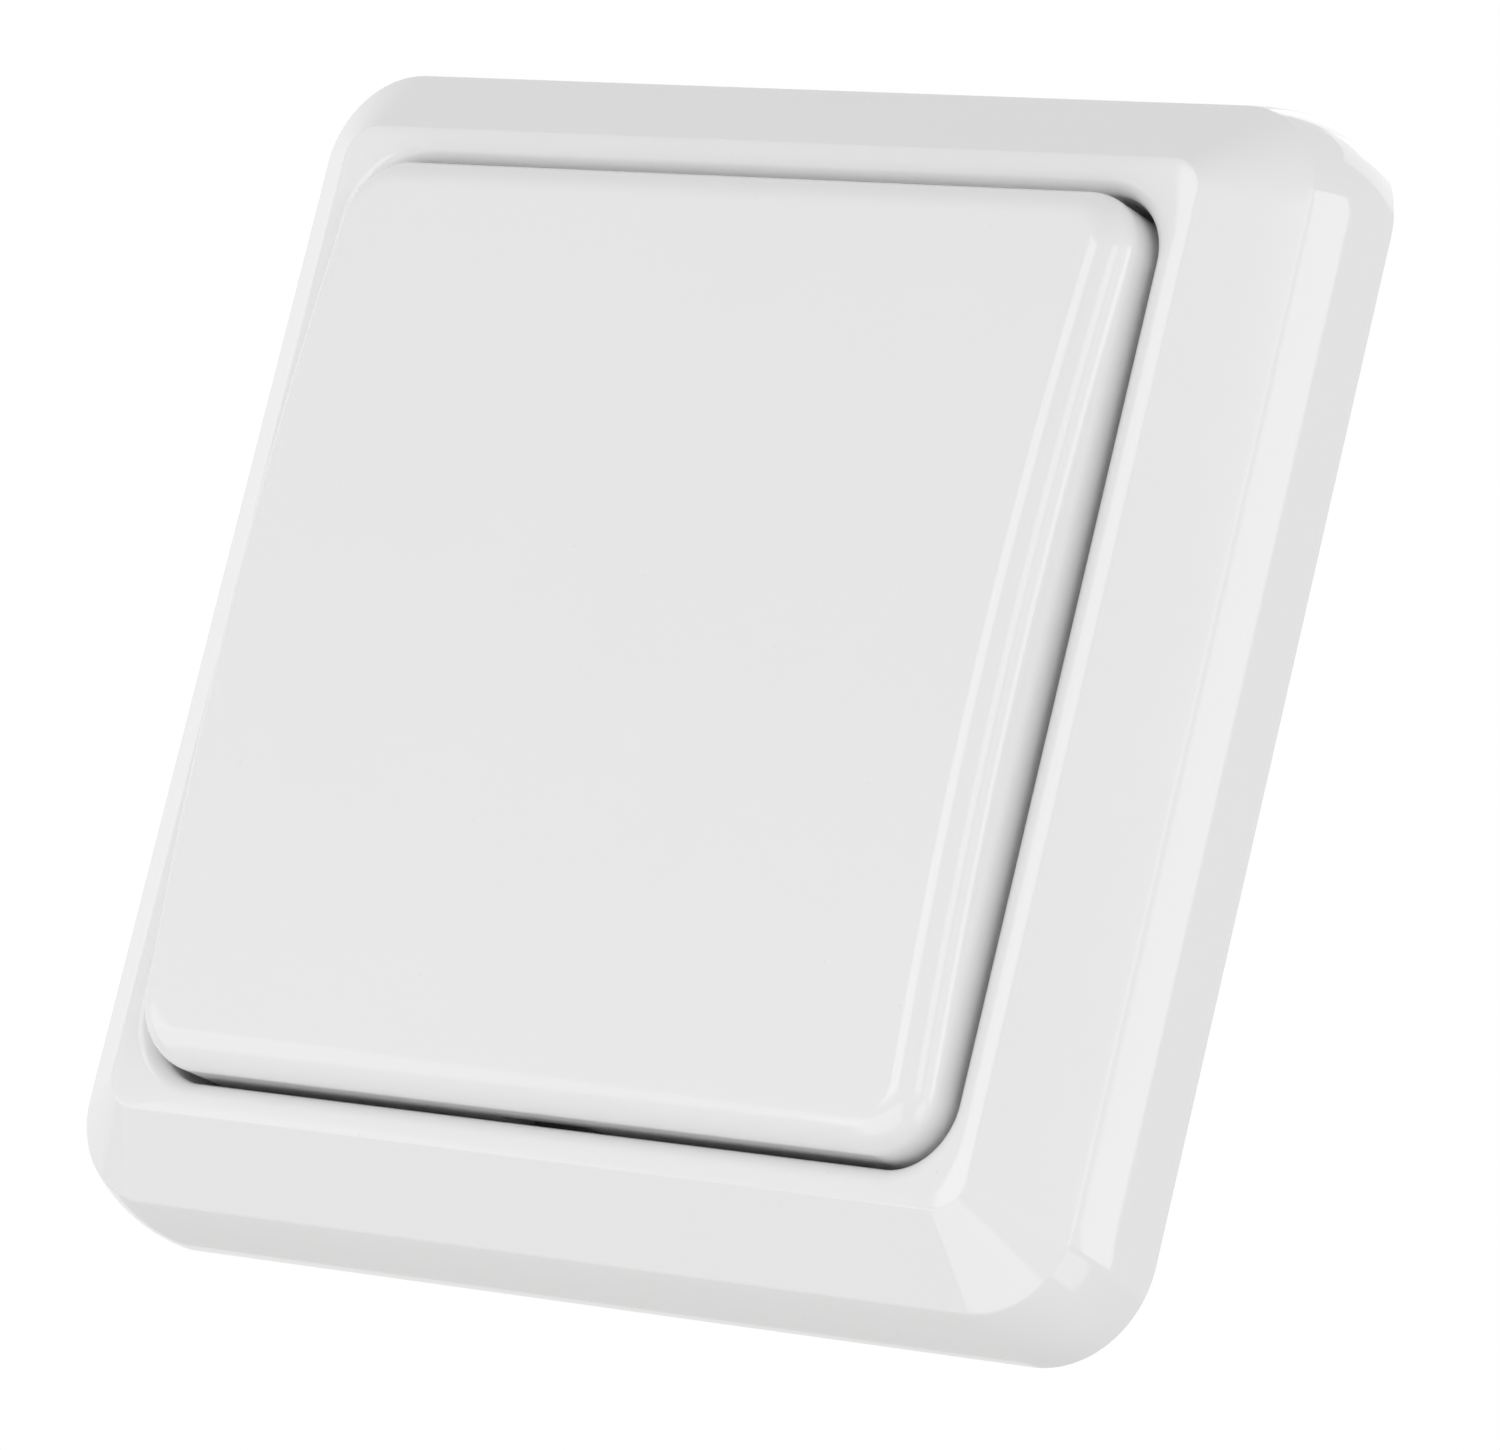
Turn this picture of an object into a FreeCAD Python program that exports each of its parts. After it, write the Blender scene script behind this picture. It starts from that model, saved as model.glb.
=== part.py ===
import FreeCAD, Part
import math
import os
import Sketcher
from FreeCAD import Placement, Rotation, Vector

# Wireless remote wall switch: a battery transmitter behind one large rocker in a square cover frame.
# Each piece is drawn flat on the wall, with X to the right, Y up the wall and Z off the wall,
# and is then stood up, so that in the finished part +Z is up and the rocker faces -Y.
# All lengths are in millimetres.

doc = FreeCAD.newDocument("wall_switch")

driving = {
    # cover frame: waist of the bowed side, crisp edge, sloping face and rounded lip round the opening
    "back_corner": 7.1,
    "waist_height": 3.96,
    "waist_inset": 0.37,
    "waist_corner": 6.7,
    "side_lean": 1.4,
    "edge_corner": 6.3,
    "edge_round": 0.5,
    "face_run": 5.25,
    "face_rise": 4.8,
    "crest_corner": 6.1,
    "crest_round": 0.3,
    "lip_flat": 0.7,
    "lip_round": 1.2,
    "opening_corner": 4.4,
    "rim_wall": 1.9,
    "face_wall": 2.0,
    "skirt_wall": 2.0,
    "ledge_thick": 1.0,
    "frame_rib_thick": 1.0,
    "frame_rib_place": 19.0,
    # wall plate
    "plate_play": 0.9,
    "plate_thick": 2.0,
    "pad_height": 1.6,
    "pad_width": 4.6,
    "slot_inset": 7.2,
    "slot_width": 4.2,
    "slot_length": 9.0,
    "hook_width": 7.0,
    "hook_thick": 1.1,
    "hook_play": 0.2,
    "hook_bite": 0.7,
    "hook_head": 0.8,
    "hook_slope": 0.6,
    "hook_place": 14.0,
    "hook_gap": 0.6,
    "notch_play": 0.3,
    # unit tray
    "tray_corner": 3.0,
    "tray_play": 0.4,
    "tray_wall": 1.2,
    "tray_lift": 0.3,
    "floor_thick": 1.0,
    "flange_reach": 2.0,
    "flange_thick": 1.0,
    "boss_wall": 0.25,
    "pilot_play": 0.05,
    "standoff_height": 0.7,
    "standoff_radius": 1.5,
    "standoff_inset": 3.5,
    # circuit board
    "board_play": 0.4,
    "board_thick": 1.0,
    "board_corner": 1.5,
    "board_web": 0.4,
    "boss_play": 0.3,
    # unit cover
    "lid_over": 0.4,
    "lid_wall": 1.2,
    "lid_roof": 1.2,
    "lid_round": 0.6,
    "window_play": 0.4,
    "window_bar": 2.2,
    "window_rim": 3.6,
    "stub_radius": 1.5,
    "stub_proud": 0.6,
    "pivot_lift": 2.4,
    # cover screws
    "screw_radius": 0.9,
    "screw_play": 0.2,
    "screw_clear": 0.3,
    "head_radius": 1.8,
    "head_height": 1.0,
    "head_play": 0.15,
    "drive_length": 2.4,
    "drive_width": 0.6,
    "drive_depth": 0.5,
    # coin cell and its contacts
    "cell_radius": 10.0,
    "cell_thick": 3.2,
    "cell_break": 0.35,
    "cell_cap_inset": 1.2,
    "cell_cap_step": 0.3,
    "cell_lift": 0.6,
    "contact_thick": 0.3,
    "contact_play": 0.1,
    "clip_height": 3.0,
    "clip_span": 6.0,
    "clip_foot": 2.4,
    "strip_length": 15.0,
    "strip_width": 5.0,
    "strip_heel": 5.0,
    "strip_toe": 2.5,
    # push switches
    "switch_width": 8.0,
    "switch_wall": 0.7,
    "switch_round": 0.6,
    "switch_height": 5.8,
    "switch_floor": 0.8,
    "switch_roof": 1.0,
    "leg_width": 0.8,
    "leg_reach": 1.3,
    "leg_thick": 0.3,
    "leg_rise": 1.2,
    "leg_place": 2.3,
    # switch stems and their springs
    "stem_radius": 1.7,
    "stem_play": 0.05,
    "stem_proud": 1.95,
    "stem_dome": 0.5,
    "collar_play": 0.3,
    "collar_thick": 1.0,
    "collar_lift": 2.6,
    "coil_inset": 0.6,
    "coil_wire": 0.15,
    "coil_turns": 2.0,
    "coil_play": 0.05,
    # rocker
    "rocker_gap": 0.45,
    "rocker_corner": 4.2,
    "rocker_wall": 1.8,
    "rocker_round": 2.2,
    "crown_proud": 4.45,
    "crown_drop": 1.9,
    "skirt_lift": 2.0,
    "nib_radius": 2.5,
    "nib_length": 1.95,
    "nib_play": 0.25,
    "lug_gap": 0.6,
    "lug_thick": 2.0,
    "lug_width": 6.4,
    "lug_wrap": 1.1,
    "bearing_play": 0.05,
    "roof_rib_thick": 1.0,
    "roof_rib_lift": 0.4,
    "roof_rib_bite": 0.25,
    "cross_rib_place": 8.5,
    "long_rib_place": 10.0,
    "pry_width": 7.0,
    "pry_height": 3.8,
    # radio parts on the board
    "chip_width": 5.0,
    "chip_height": 0.9,
    "chip_inset": 7.4,
    "chip_up": 9.0,
    "crystal_width": 3.2,
    "crystal_depth": 2.5,
    "crystal_height": 0.8,
    "crystal_up": 2.5,
    "small_length": 1.6,
    "small_width": 0.8,
    "capacitor_height": 0.8,
    "resistor_height": 0.45,
    "small_pitch": 2.4,
    "capacitor_inset": 2.4,
    "resistor_up": 14.5,
    "aerial_radius": 1.6,
    "aerial_wire": 0.3,
    "aerial_pitch": 2.5,
    "aerial_turns": 4.0,
    "aerial_inset": 5.4,
    "aerial_start": 5.0,
}

capacitor_count = 4
resistor_count = 3
wire_sides = 6
quarter = math.pi / 2

# What follows from the driving sizes: heights above the wall, and widths that fit one piece to another.
following = {
    # heights above the wall, from the plate up to the crown
    "hook_root": "dims.plate_thick / 2",
    "ledge_back": "dims.plate_thick + dims.pad_height",
    "ledge_top": "ledge_back + dims.ledge_thick",
    "flange_top": "ledge_top + dims.flange_thick",
    "tray_bottom": "dims.plate_thick + dims.tray_lift",
    "tray_depth": "flange_top - tray_bottom",
    "floor_top": "tray_bottom + dims.floor_thick",
    "bay_depth": "flange_top - floor_top",
    "board_bottom": "floor_top + dims.standoff_height",
    "board_top": "board_bottom + dims.board_thick",
    "switch_top": "board_top + dims.switch_height",
    "lid_top": "switch_top + dims.lid_over",
    "lid_rise": "lid_top - flange_top",
    "lid_inside": "lid_rise - dims.lid_roof",
    "lid_underside": "lid_top - dims.lid_roof",
    "pivot_height": "flange_top + dims.pivot_lift",
    "stem_top": "switch_top + dims.stem_proud",
    "nib_level": "stem_top + dims.nib_play",
    "roof_rib_level": "nib_level + dims.roof_rib_lift",
    "roof_underside": "nib_level + dims.nib_length",
    "crown_height": "roof_underside + dims.rocker_wall",
    "crest_height": "crown_height - dims.crown_proud",
    "edge_height": "crest_height - dims.face_rise",
    # plan sizes, from the coin cell and the switches beside it out to the frame
    "cell_window": "dims.cell_radius + dims.window_play",
    "switch_window": "dims.switch_width + 2 * dims.window_play",
    "switch_place": "cell_window + dims.window_bar + switch_window / 2",
    "tray_half": "switch_place + switch_window / 2 + dims.window_rim",
    "tray_width": "2 * tray_half",
    "ledge_window": "tray_width + 2 * dims.tray_play",
    "ledge_corner": "dims.tray_corner + dims.tray_play",
    "flange_width": "tray_width + 2 * dims.flange_reach",
    "flange_corner": "dims.tray_corner + dims.flange_reach",
    "hook_inner": "flange_width / 2 + dims.hook_play",
    "hook_outer": "hook_inner + dims.hook_thick",
    "hollow_half": "hook_outer + dims.hook_gap",
    "hollow_width": "2 * hollow_half",
    "rocker_half": "hollow_half + dims.rocker_wall",
    "rocker_width": "2 * rocker_half",
    "opening_half": "rocker_half + dims.rocker_gap",
    "opening_width": "2 * opening_half",
    "crest_width": "opening_width + 2 * (dims.lip_round + dims.lip_flat + dims.crest_round)",
    "edge_width": "crest_width + 2 * dims.face_run",
    "frame_width": "edge_width + 2 * dims.side_lean",
    "waist_width": "frame_width - 2 * dims.waist_inset",
    # inside of the cover frame
    "recess_width": "frame_width - 2 * dims.rim_wall",
    "recess_corner": "dims.back_corner - dims.rim_wall",
    "face_slant": "sqrt(dims.face_rise ^ 2 + dims.face_run ^ 2)",
    "shoulder_width": "edge_width - 2 * dims.face_wall * dims.face_rise / face_slant",
    "shoulder_height": "edge_height - dims.face_wall * dims.face_run / face_slant",
    "shoulder_corner": "dims.edge_corner - dims.face_wall * dims.face_rise / face_slant",
    "skirt_width": "opening_width + 2 * dims.skirt_wall",
    "skirt_corner": "dims.opening_corner + dims.skirt_wall",
    "cavity_top": "shoulder_height + (shoulder_width - skirt_width) / 2 * dims.face_rise / dims.face_run",
    "cavity_corner": "dims.crest_corner - dims.face_wall * dims.face_rise / face_slant",
    "skirt_rise": "cavity_top + (crest_height - cavity_top) / 2 - ledge_back",
    "opening_depth": "crest_height - ledge_top",
    "rib_reach": "(shoulder_width - skirt_width) / 2 + dims.face_wall / 2",
    "rib_centre": "(shoulder_width + skirt_width) / 4 + dims.face_wall / 4",
    "rib_rise": "shoulder_height - ledge_back",
    # wall plate
    "plate_width": "recess_width - 2 * dims.plate_play",
    "plate_corner": "recess_corner - dims.plate_play",
    "slot_half": "plate_width / 2 - dims.slot_inset",
    "slot_run": "dims.slot_length - dims.slot_width",
    "slot_radius": "dims.slot_width / 2",
    "pad_centre": "(opening_width + ledge_window) / 4",
    "hook_nose": "flange_width / 2 - dims.hook_bite",
    "hook_seat": "flange_top + dims.hook_play / 2",
    "hook_lead": "hook_seat + dims.hook_head - dims.hook_slope",
    "hook_top": "hook_seat + dims.hook_head",
    "notch_width": "dims.hook_width + 2 * dims.notch_play",
    "notch_reach": "hook_outer + dims.notch_play - ledge_window / 2 + dims.hook_thick",
    "notch_centre": "(hook_outer + dims.notch_play + ledge_window / 2 - dims.hook_thick) / 2",
    # unit: tray, board and cover
    "bay_width": "tray_width - 2 * dims.tray_wall",
    "bay_corner": "dims.tray_corner - dims.tray_wall",
    "board_width": "bay_width - 2 * dims.board_play",
    "board_half": "board_width / 2",
    "head_well": "dims.head_radius + dims.head_play",
    "boss_radius": "head_well + dims.boss_wall",
    "board_hole": "boss_radius + dims.boss_play",
    "boss_place": "board_half - dims.board_web - board_hole",
    "standoff_place": "tray_half - dims.standoff_inset",
    "pilot_radius": "dims.screw_radius + dims.pilot_play",
    "lid_bay": "tray_width - 2 * dims.lid_wall",
    "lid_bay_corner": "dims.tray_corner - dims.lid_wall",
    "stub_start": "tray_half - dims.lid_wall / 2",
    "stub_run": "dims.lid_wall / 2 + dims.lug_gap + dims.lug_thick + dims.stub_proud",
    "screw_hole": "dims.screw_radius + dims.screw_play",
    "screw_tip": "floor_top + dims.screw_clear",
    "screw_length": "lid_underside - screw_tip",
    "head_top": "lid_underside + dims.head_height",
    # coin cell and its contacts
    "cell_cap_radius": "dims.cell_radius - dims.cell_cap_inset",
    "cell_bottom": "board_top + dims.cell_lift",
    "cell_top": "cell_bottom + dims.cell_thick",
    "cell_waist": "cell_bottom + dims.cell_cap_step",
    "can_shoulder": "cell_top - dims.cell_break",
    "can_rim": "dims.cell_radius - dims.cell_break",
    "clip_inner": "dims.cell_radius + dims.contact_play",
    "clip_outer": "clip_inner + dims.contact_thick",
    "clip_end": "clip_outer + dims.clip_foot",
    "clip_top": "board_top + dims.clip_height",
    "clip_sweep": "dims.clip_span / clip_inner * 180 / pi",
    "contact_top": "board_top + dims.contact_thick",
    "strip_half": "dims.strip_length / 2",
    "strip_tip": "cell_bottom - dims.contact_play",
    "strip_tip_back": "strip_tip - dims.contact_thick",
    # push switches
    "switch_half": "dims.switch_width / 2",
    "chamber_radius": "switch_half - dims.switch_wall",
    "chamber_floor": "board_top + dims.switch_floor",
    "chamber_top": "switch_top - dims.switch_roof",
    "chamber_depth": "chamber_top - chamber_floor",
    "guide_radius": "dims.stem_radius + dims.stem_play",
    "leg_row_near": "switch_place - dims.leg_place",
    "leg_row_far": "switch_place + dims.leg_place",
    "leg_end": "switch_half + dims.leg_reach",
    "leg_bend": "switch_half + dims.leg_thick",
    "leg_top": "board_top + dims.leg_rise",
    "leg_foot_top": "board_top + dims.leg_thick",
    "collar_radius": "chamber_radius - dims.collar_play",
    "collar_bottom": "board_top + dims.collar_lift",
    "collar_top": "collar_bottom + dims.collar_thick",
    "stem_shoulder": "stem_top - dims.stem_dome",
    "stem_crown": "dims.stem_radius - dims.stem_dome",
    "coil_radius": "collar_radius - dims.coil_inset",
    "coil_start": "chamber_floor + dims.coil_wire + dims.coil_play",
    "coil_height": "collar_bottom - chamber_floor - 2 * (dims.coil_wire + dims.coil_play)",
    "coil_pitch": "coil_height / dims.coil_turns",
    # rocker
    "rocker_bottom": "ledge_top + dims.skirt_lift",
    "rocker_blank": "crown_height - rocker_bottom",
    "crown_end": "crown_height - dims.crown_drop",
    "crown_radius": "(rocker_half ^ 2 + dims.crown_drop ^ 2) / (2 * dims.crown_drop)",
    "crown_half": "rocker_half + dims.rocker_wall",
    "crown_width": "rocker_width + 2 * dims.rocker_wall",
    "crown_reach": "crown_height - crown_radius + sqrt(crown_radius ^ 2 - crown_half ^ 2)",
    "hollow_corner": "dims.rocker_corner - dims.rocker_wall",
    "hollow_radius": "crown_radius - dims.rocker_wall",
    "hollow_end": "crown_height - crown_radius + sqrt(hollow_radius ^ 2 - hollow_half ^ 2)",
    "crown_sky": "crown_height + dims.rocker_wall",
    "hollow_floor": "rocker_bottom - dims.rocker_wall",
    "roof_middle": "roof_underside + dims.rocker_wall / 2",
    "nib_rise": "roof_middle - nib_level",
    "lug_inner": "tray_half + dims.lug_gap",
    "lug_bottom": "pivot_height - dims.lug_wrap",
    "lug_rise": "roof_middle - lug_bottom",
    "lug_centre": "lug_inner + dims.lug_thick / 2",
    "bearing_radius": "dims.stub_radius + dims.bearing_play",
    "bearing_reach": "lug_inner + dims.lug_thick + hollow_half",
    "cross_rib_run": "hollow_width + dims.rocker_wall",
    "cross_rib_rise": "roof_middle - roof_rib_level",
    "long_rib_run": "2 * (switch_place + 2 * dims.nib_radius)",
    "long_rib_rise": "roof_underside + dims.roof_rib_bite - roof_rib_level",
    "pry_depth": "2 * dims.rocker_wall",
    "pry_centre": "rocker_half - dims.rocker_wall / 2",
    # radio parts on the board
    "chip_side": "board_half - dims.chip_inset",
    "capacitor_side": "board_half - dims.capacitor_inset",
    "capacitor_run": f"{capacitor_count - 1} * dims.small_pitch",
    "resistor_run": f"{resistor_count - 1} * dims.small_pitch",
    "aerial_side": "board_half - dims.aerial_inset",
    "aerial_level": "board_top + dims.aerial_radius + dims.aerial_wire",
    "aerial_length": "dims.aerial_turns * dims.aerial_pitch",
    "aerial_edge": "aerial_side + dims.aerial_radius",
}


def fill_sheet(name, cells):
    """One row for each cell: its name in the first column and its value, under that alias, in the second."""
    sheet = doc.addObject("Spreadsheet::Sheet", name)
    for row, (alias, content) in enumerate(cells.items(), start=1):
        sheet.set(f"A{row}", alias)
        sheet.set(f"B{row}", content)
        sheet.setAlias(f"B{row}", alias)
    return sheet


dims = fill_sheet("dims", {alias: str(size) for alias, size in driving.items()})
levels = fill_sheet("levels", {alias: "=" + formula for alias, formula in following.items()})
doc.recompute()


def binding(cell):
    """The expression that ties a size to its cell; a leading minus sign turns it round."""
    sign, alias = ("-", cell[1:]) if cell.startswith("-") else ("", cell)
    return f"{sign}{'dims' if alias in driving else 'levels'}.{alias}"


def size(cell):
    """The present value of a cell."""
    sign, alias = (-1.0, cell[1:]) if cell.startswith("-") else (1.0, cell)
    return sign * float(getattr(dims if alias in driving else levels, alias))


stand_up = Placement(Vector(0, 0, 0), Rotation(Vector(1, 0, 0), 90))
nodes = []


def keep(piece, label):
    piece.Label = label
    piece.Placement = stand_up
    nodes.append(piece)
    return piece


def new_body(label):
    return keep(doc.addObject("PartDesign::Body", "body_" + label), label)


def origin_part(body, role):
    return next(item for item in body.Origin.OriginFeatures if item.Role == role)


def new_sketch(body, name, plane="XY_Plane", at=(None, None, None)):
    """A sketch on one of the body's own planes, shifted within that plane and off it."""
    sketch = body.newObject("Sketcher::SketchObject", name)
    sketch.AttachmentSupport = [(origin_part(body, plane), "")]
    sketch.MapMode = "FlatFace"
    for axis, cell in zip("xyz", at):
        if cell:
            sketch.setExpression(f"AttachmentOffset.Base.{axis}", binding(cell))
    return sketch


def constrain(sketch, cell, kind, *where):
    """A dimension of a sketch, tied to its cell."""
    index = sketch.addConstraint(Sketcher.Constraint(kind, *where, size(cell)))
    sketch.setExpression(f"Constraints[{index}]", binding(cell))


def rounded_square(sketch, width, corner, height=None):
    """A rectangle with rounded corners, centred on the sketch's origin."""
    height = height or width
    across, up, bend = size(width) / 2, size(height) / 2, size(corner)
    near_x, near_y = across - bend, up - bend
    runs = [
        ((-near_x, -up), (near_x, -up)),
        ((across, -near_y), (across, near_y)),
        ((near_x, up), (-near_x, up)),
        ((-across, near_y), (-across, -near_y)),
    ]
    for start, end in runs:
        sketch.addGeometry(Part.LineSegment(Vector(*start, 0), Vector(*end, 0)))
    centres = [(near_x, -near_y), (near_x, near_y), (-near_x, near_y), (-near_x, -near_y)]
    for turn, centre in enumerate(centres):
        circle = Part.Circle(Vector(*centre, 0), Vector(0, 0, 1), bend)
        sketch.addGeometry(Part.ArcOfCircle(circle, (turn - 1) * quarter, turn * quarter))
    for side in range(4):
        sketch.addConstraint(Sketcher.Constraint("Tangent", side, 2, 4 + side, 1))
        sketch.addConstraint(Sketcher.Constraint("Tangent", 4 + side, 2, (side + 1) % 4, 1))
        sketch.addConstraint(Sketcher.Constraint("Vertical" if side % 2 else "Horizontal", side))
    for arc in (4, 5, 6):
        sketch.addConstraint(Sketcher.Constraint("Equal", arc, arc + 1))
    sketch.addConstraint(Sketcher.Constraint("Symmetric", 4, 3, 6, 3, -1, 1))
    constrain(sketch, width, "DistanceX", 3, 1, 1, 1)
    constrain(sketch, height, "DistanceY", 0, 1, 2, 1)
    constrain(sketch, corner, "Radius", 4)
    return sketch


def circle(sketch, radius):
    sketch.addGeometry(Part.Circle(Vector(0, 0, 0), Vector(0, 0, 1), size(radius)))
    sketch.addConstraint(Sketcher.Constraint("Coincident", 0, 3, -1, 1))
    constrain(sketch, radius, "Radius", 0)
    return sketch


def rectangle(sketch, width, height):
    """A sharp-cornered rectangle, centred on the sketch's origin."""
    across, up = size(width) / 2, size(height) / 2
    corners = [(-across, -up), (across, -up), (across, up), (-across, up)]
    for start, end in zip(corners, corners[1:] + corners[:1]):
        sketch.addGeometry(Part.LineSegment(Vector(*start, 0), Vector(*end, 0)))
    for side in range(4):
        sketch.addConstraint(Sketcher.Constraint("Coincident", side, 2, (side + 1) % 4, 1))
        sketch.addConstraint(Sketcher.Constraint("Vertical" if side % 2 else "Horizontal", side))
    sketch.addConstraint(Sketcher.Constraint("Symmetric", 0, 1, 1, 2, -1, 1))
    constrain(sketch, width, "DistanceX", 0, 1, 0, 2)
    constrain(sketch, height, "DistanceY", 1, 1, 1, 2)
    return sketch


def slot(sketch, run, radius):
    """A slot along the sketch's X, with round ends; run is the distance between their centres."""
    half, bend = size(run) / 2, size(radius)
    sketch.addGeometry(Part.LineSegment(Vector(-half, -bend, 0), Vector(half, -bend, 0)))
    right = Part.Circle(Vector(half, 0, 0), Vector(0, 0, 1), bend)
    sketch.addGeometry(Part.ArcOfCircle(right, -quarter, quarter))
    sketch.addGeometry(Part.LineSegment(Vector(half, bend, 0), Vector(-half, bend, 0)))
    left = Part.Circle(Vector(-half, 0, 0), Vector(0, 0, 1), bend)
    sketch.addGeometry(Part.ArcOfCircle(left, quarter, 3 * quarter))
    for item in range(4):
        sketch.addConstraint(Sketcher.Constraint("Tangent", item, 2, (item + 1) % 4, 1))
    sketch.addConstraint(Sketcher.Constraint("Horizontal", 0))
    sketch.addConstraint(Sketcher.Constraint("Symmetric", 1, 3, 3, 3, -1, 1))
    constrain(sketch, run, "DistanceX", 3, 3, 1, 3)
    constrain(sketch, radius, "Radius", 1)
    return sketch


def outline(sketch, corners):
    """A closed outline of straight runs; a corner's None lies on that axis of the sketch."""
    spots = [tuple(size(cell) if cell else 0.0 for cell in corner) for corner in corners]
    for start, end in zip(spots, spots[1:] + spots[:1]):
        sketch.addGeometry(Part.LineSegment(Vector(*start, 0), Vector(*end, 0)))
    for index, (across, up) in enumerate(corners):
        following_run = (index + 1) % len(corners)
        sketch.addConstraint(Sketcher.Constraint("Coincident", index, 2, following_run, 1))
        if across:
            constrain(sketch, across, "DistanceX", -1, 1, index, 1)
        else:
            sketch.addConstraint(Sketcher.Constraint("PointOnObject", index, 1, -2))
        if up:
            constrain(sketch, up, "DistanceY", -1, 1, index, 1)
        else:
            sketch.addConstraint(Sketcher.Constraint("PointOnObject", index, 1, -1))
    return sketch


def crowned(sketch, half, radius, end, level):
    """The region between a level line and an arc centred over the sketch's origin.

    half is half the arc's chord, end the height of its two ends, and level the height of the line."""
    across, bend, rim, line = size(half), size(radius), size(end), size(level)
    middle = rim - (bend ** 2 - across ** 2) ** 0.5
    arc = Part.Arc(Vector(across, rim, 0), Vector(0, middle + bend, 0), Vector(-across, rim, 0))
    sketch.addGeometry(arc)
    sketch.addGeometry(Part.LineSegment(Vector(-across, rim, 0), Vector(-across, line, 0)))
    sketch.addGeometry(Part.LineSegment(Vector(-across, line, 0), Vector(across, line, 0)))
    sketch.addGeometry(Part.LineSegment(Vector(across, line, 0), Vector(across, rim, 0)))
    sketch.addConstraint(Sketcher.Constraint("Coincident", 0, 2, 1, 1))
    sketch.addConstraint(Sketcher.Constraint("Coincident", 1, 2, 2, 1))
    sketch.addConstraint(Sketcher.Constraint("Coincident", 2, 2, 3, 1))
    sketch.addConstraint(Sketcher.Constraint("Coincident", 3, 2, 0, 1))
    sketch.addConstraint(Sketcher.Constraint("Vertical", 1))
    sketch.addConstraint(Sketcher.Constraint("Horizontal", 2))
    sketch.addConstraint(Sketcher.Constraint("Vertical", 3))
    sketch.addConstraint(Sketcher.Constraint("PointOnObject", 0, 3, -2))
    constrain(sketch, half, "DistanceX", -1, 1, 3, 1)
    constrain(sketch, radius, "Radius", 0)
    constrain(sketch, end, "DistanceY", -1, 1, 0, 1)
    constrain(sketch, level, "DistanceY", -1, 1, 2, 1)
    return sketch


def pad(body, name, sketch, length, turned=False, both_ways=False):
    feature = body.newObject("PartDesign::Pad", name)
    feature.Profile = sketch
    feature.setExpression("Length", binding(length))
    feature.Reversed = turned
    feature.Midplane = both_ways
    return feature


def pocket(body, name, sketch, length, turned=False, both_ways=False):
    feature = body.newObject("PartDesign::Pocket", name)
    feature.Profile = sketch
    feature.setExpression("Length", binding(length))
    feature.Reversed = turned
    feature.Midplane = both_ways
    return feature


def through(body, name, sketch, turned=False):
    """A cut right through the body, from the sketch's plane on."""
    feature = body.newObject("PartDesign::Pocket", name)
    feature.Profile = sketch
    feature.Type = 1
    feature.Reversed = turned
    return feature


def loft(body, name, kind, rings, ruled):
    feature = body.newObject("PartDesign::" + kind, name)
    feature.Profile = rings[0]
    feature.Sections = rings[1:]
    feature.Ruled = ruled
    return feature


def revolve(body, name, sketch):
    """A solid turned about the body's Z, off the wall."""
    feature = body.newObject("PartDesign::Revolution", name)
    feature.Profile = sketch
    feature.ReferenceAxis = (sketch, ["V_Axis"])
    feature.Angle = 360
    return feature


def around(body, name, features, count=4):
    """Copies of features turned about the body's Z."""
    pattern = body.newObject("PartDesign::PolarPattern", name)
    pattern.Originals = features
    pattern.Axis = (origin_part(body, "Z_Axis"), [""])
    pattern.Angle = 360
    pattern.Occurrences = count
    body.Tip = pattern
    return pattern


def mirrored(body, name, features, plane):
    copy = body.newObject("PartDesign::Mirrored", name)
    copy.Originals = features
    copy.MirrorPlane = (origin_part(body, plane), [""])
    body.Tip = copy
    return copy


def round_edges(body, name, radius, wanted):
    """A rounding on those edges of the body so far that the wanted test picks."""
    doc.recompute()
    base = body.Tip
    picked = [f"Edge{n}" for n, edge in enumerate(base.Shape.Edges, start=1) if wanted(edge.BoundBox)]
    feature = body.newObject("PartDesign::Fillet", name)
    feature.Base = (base, picked)
    feature.setExpression("Radius", binding(radius))
    return feature


close = 0.01


def level_ring(height, half):
    """Picks the edges of the ring at that height whose reach from the middle is half or a little less."""
    def wanted(box):
        reach = max(abs(box.XMin), abs(box.XMax), abs(box.YMin), abs(box.YMax))
        return abs(box.ZMin - height) < close and abs(box.ZMax - height) < close and abs(reach - half) < close
    return wanted


# The cover frame: bowed sides, a crisp edge, a broad sloping face and a rounded lip round the opening.
frame = new_body("cover_frame")
back_ring = rounded_square(new_sketch(frame, "back_ring"), "frame_width", "back_corner")
waist_ring = rounded_square(
    new_sketch(frame, "waist_ring", at=(None, None, "waist_height")), "waist_width", "waist_corner")
edge_ring = rounded_square(
    new_sketch(frame, "edge_ring", at=(None, None, "edge_height")), "edge_width", "edge_corner")
face_ring = rounded_square(
    new_sketch(frame, "face_ring", at=(None, None, "edge_height")), "edge_width", "edge_corner")
crest_ring = rounded_square(
    new_sketch(frame, "crest_ring", at=(None, None, "crest_height")), "crest_width", "crest_corner")
loft(frame, "bowed_sides", "AdditiveLoft", [back_ring, waist_ring, edge_ring], ruled=False)
loft(frame, "sloping_face", "AdditiveLoft", [face_ring, crest_ring], ruled=True)
recess_ring = rounded_square(new_sketch(frame, "recess_ring"), "recess_width", "recess_corner")
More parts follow.
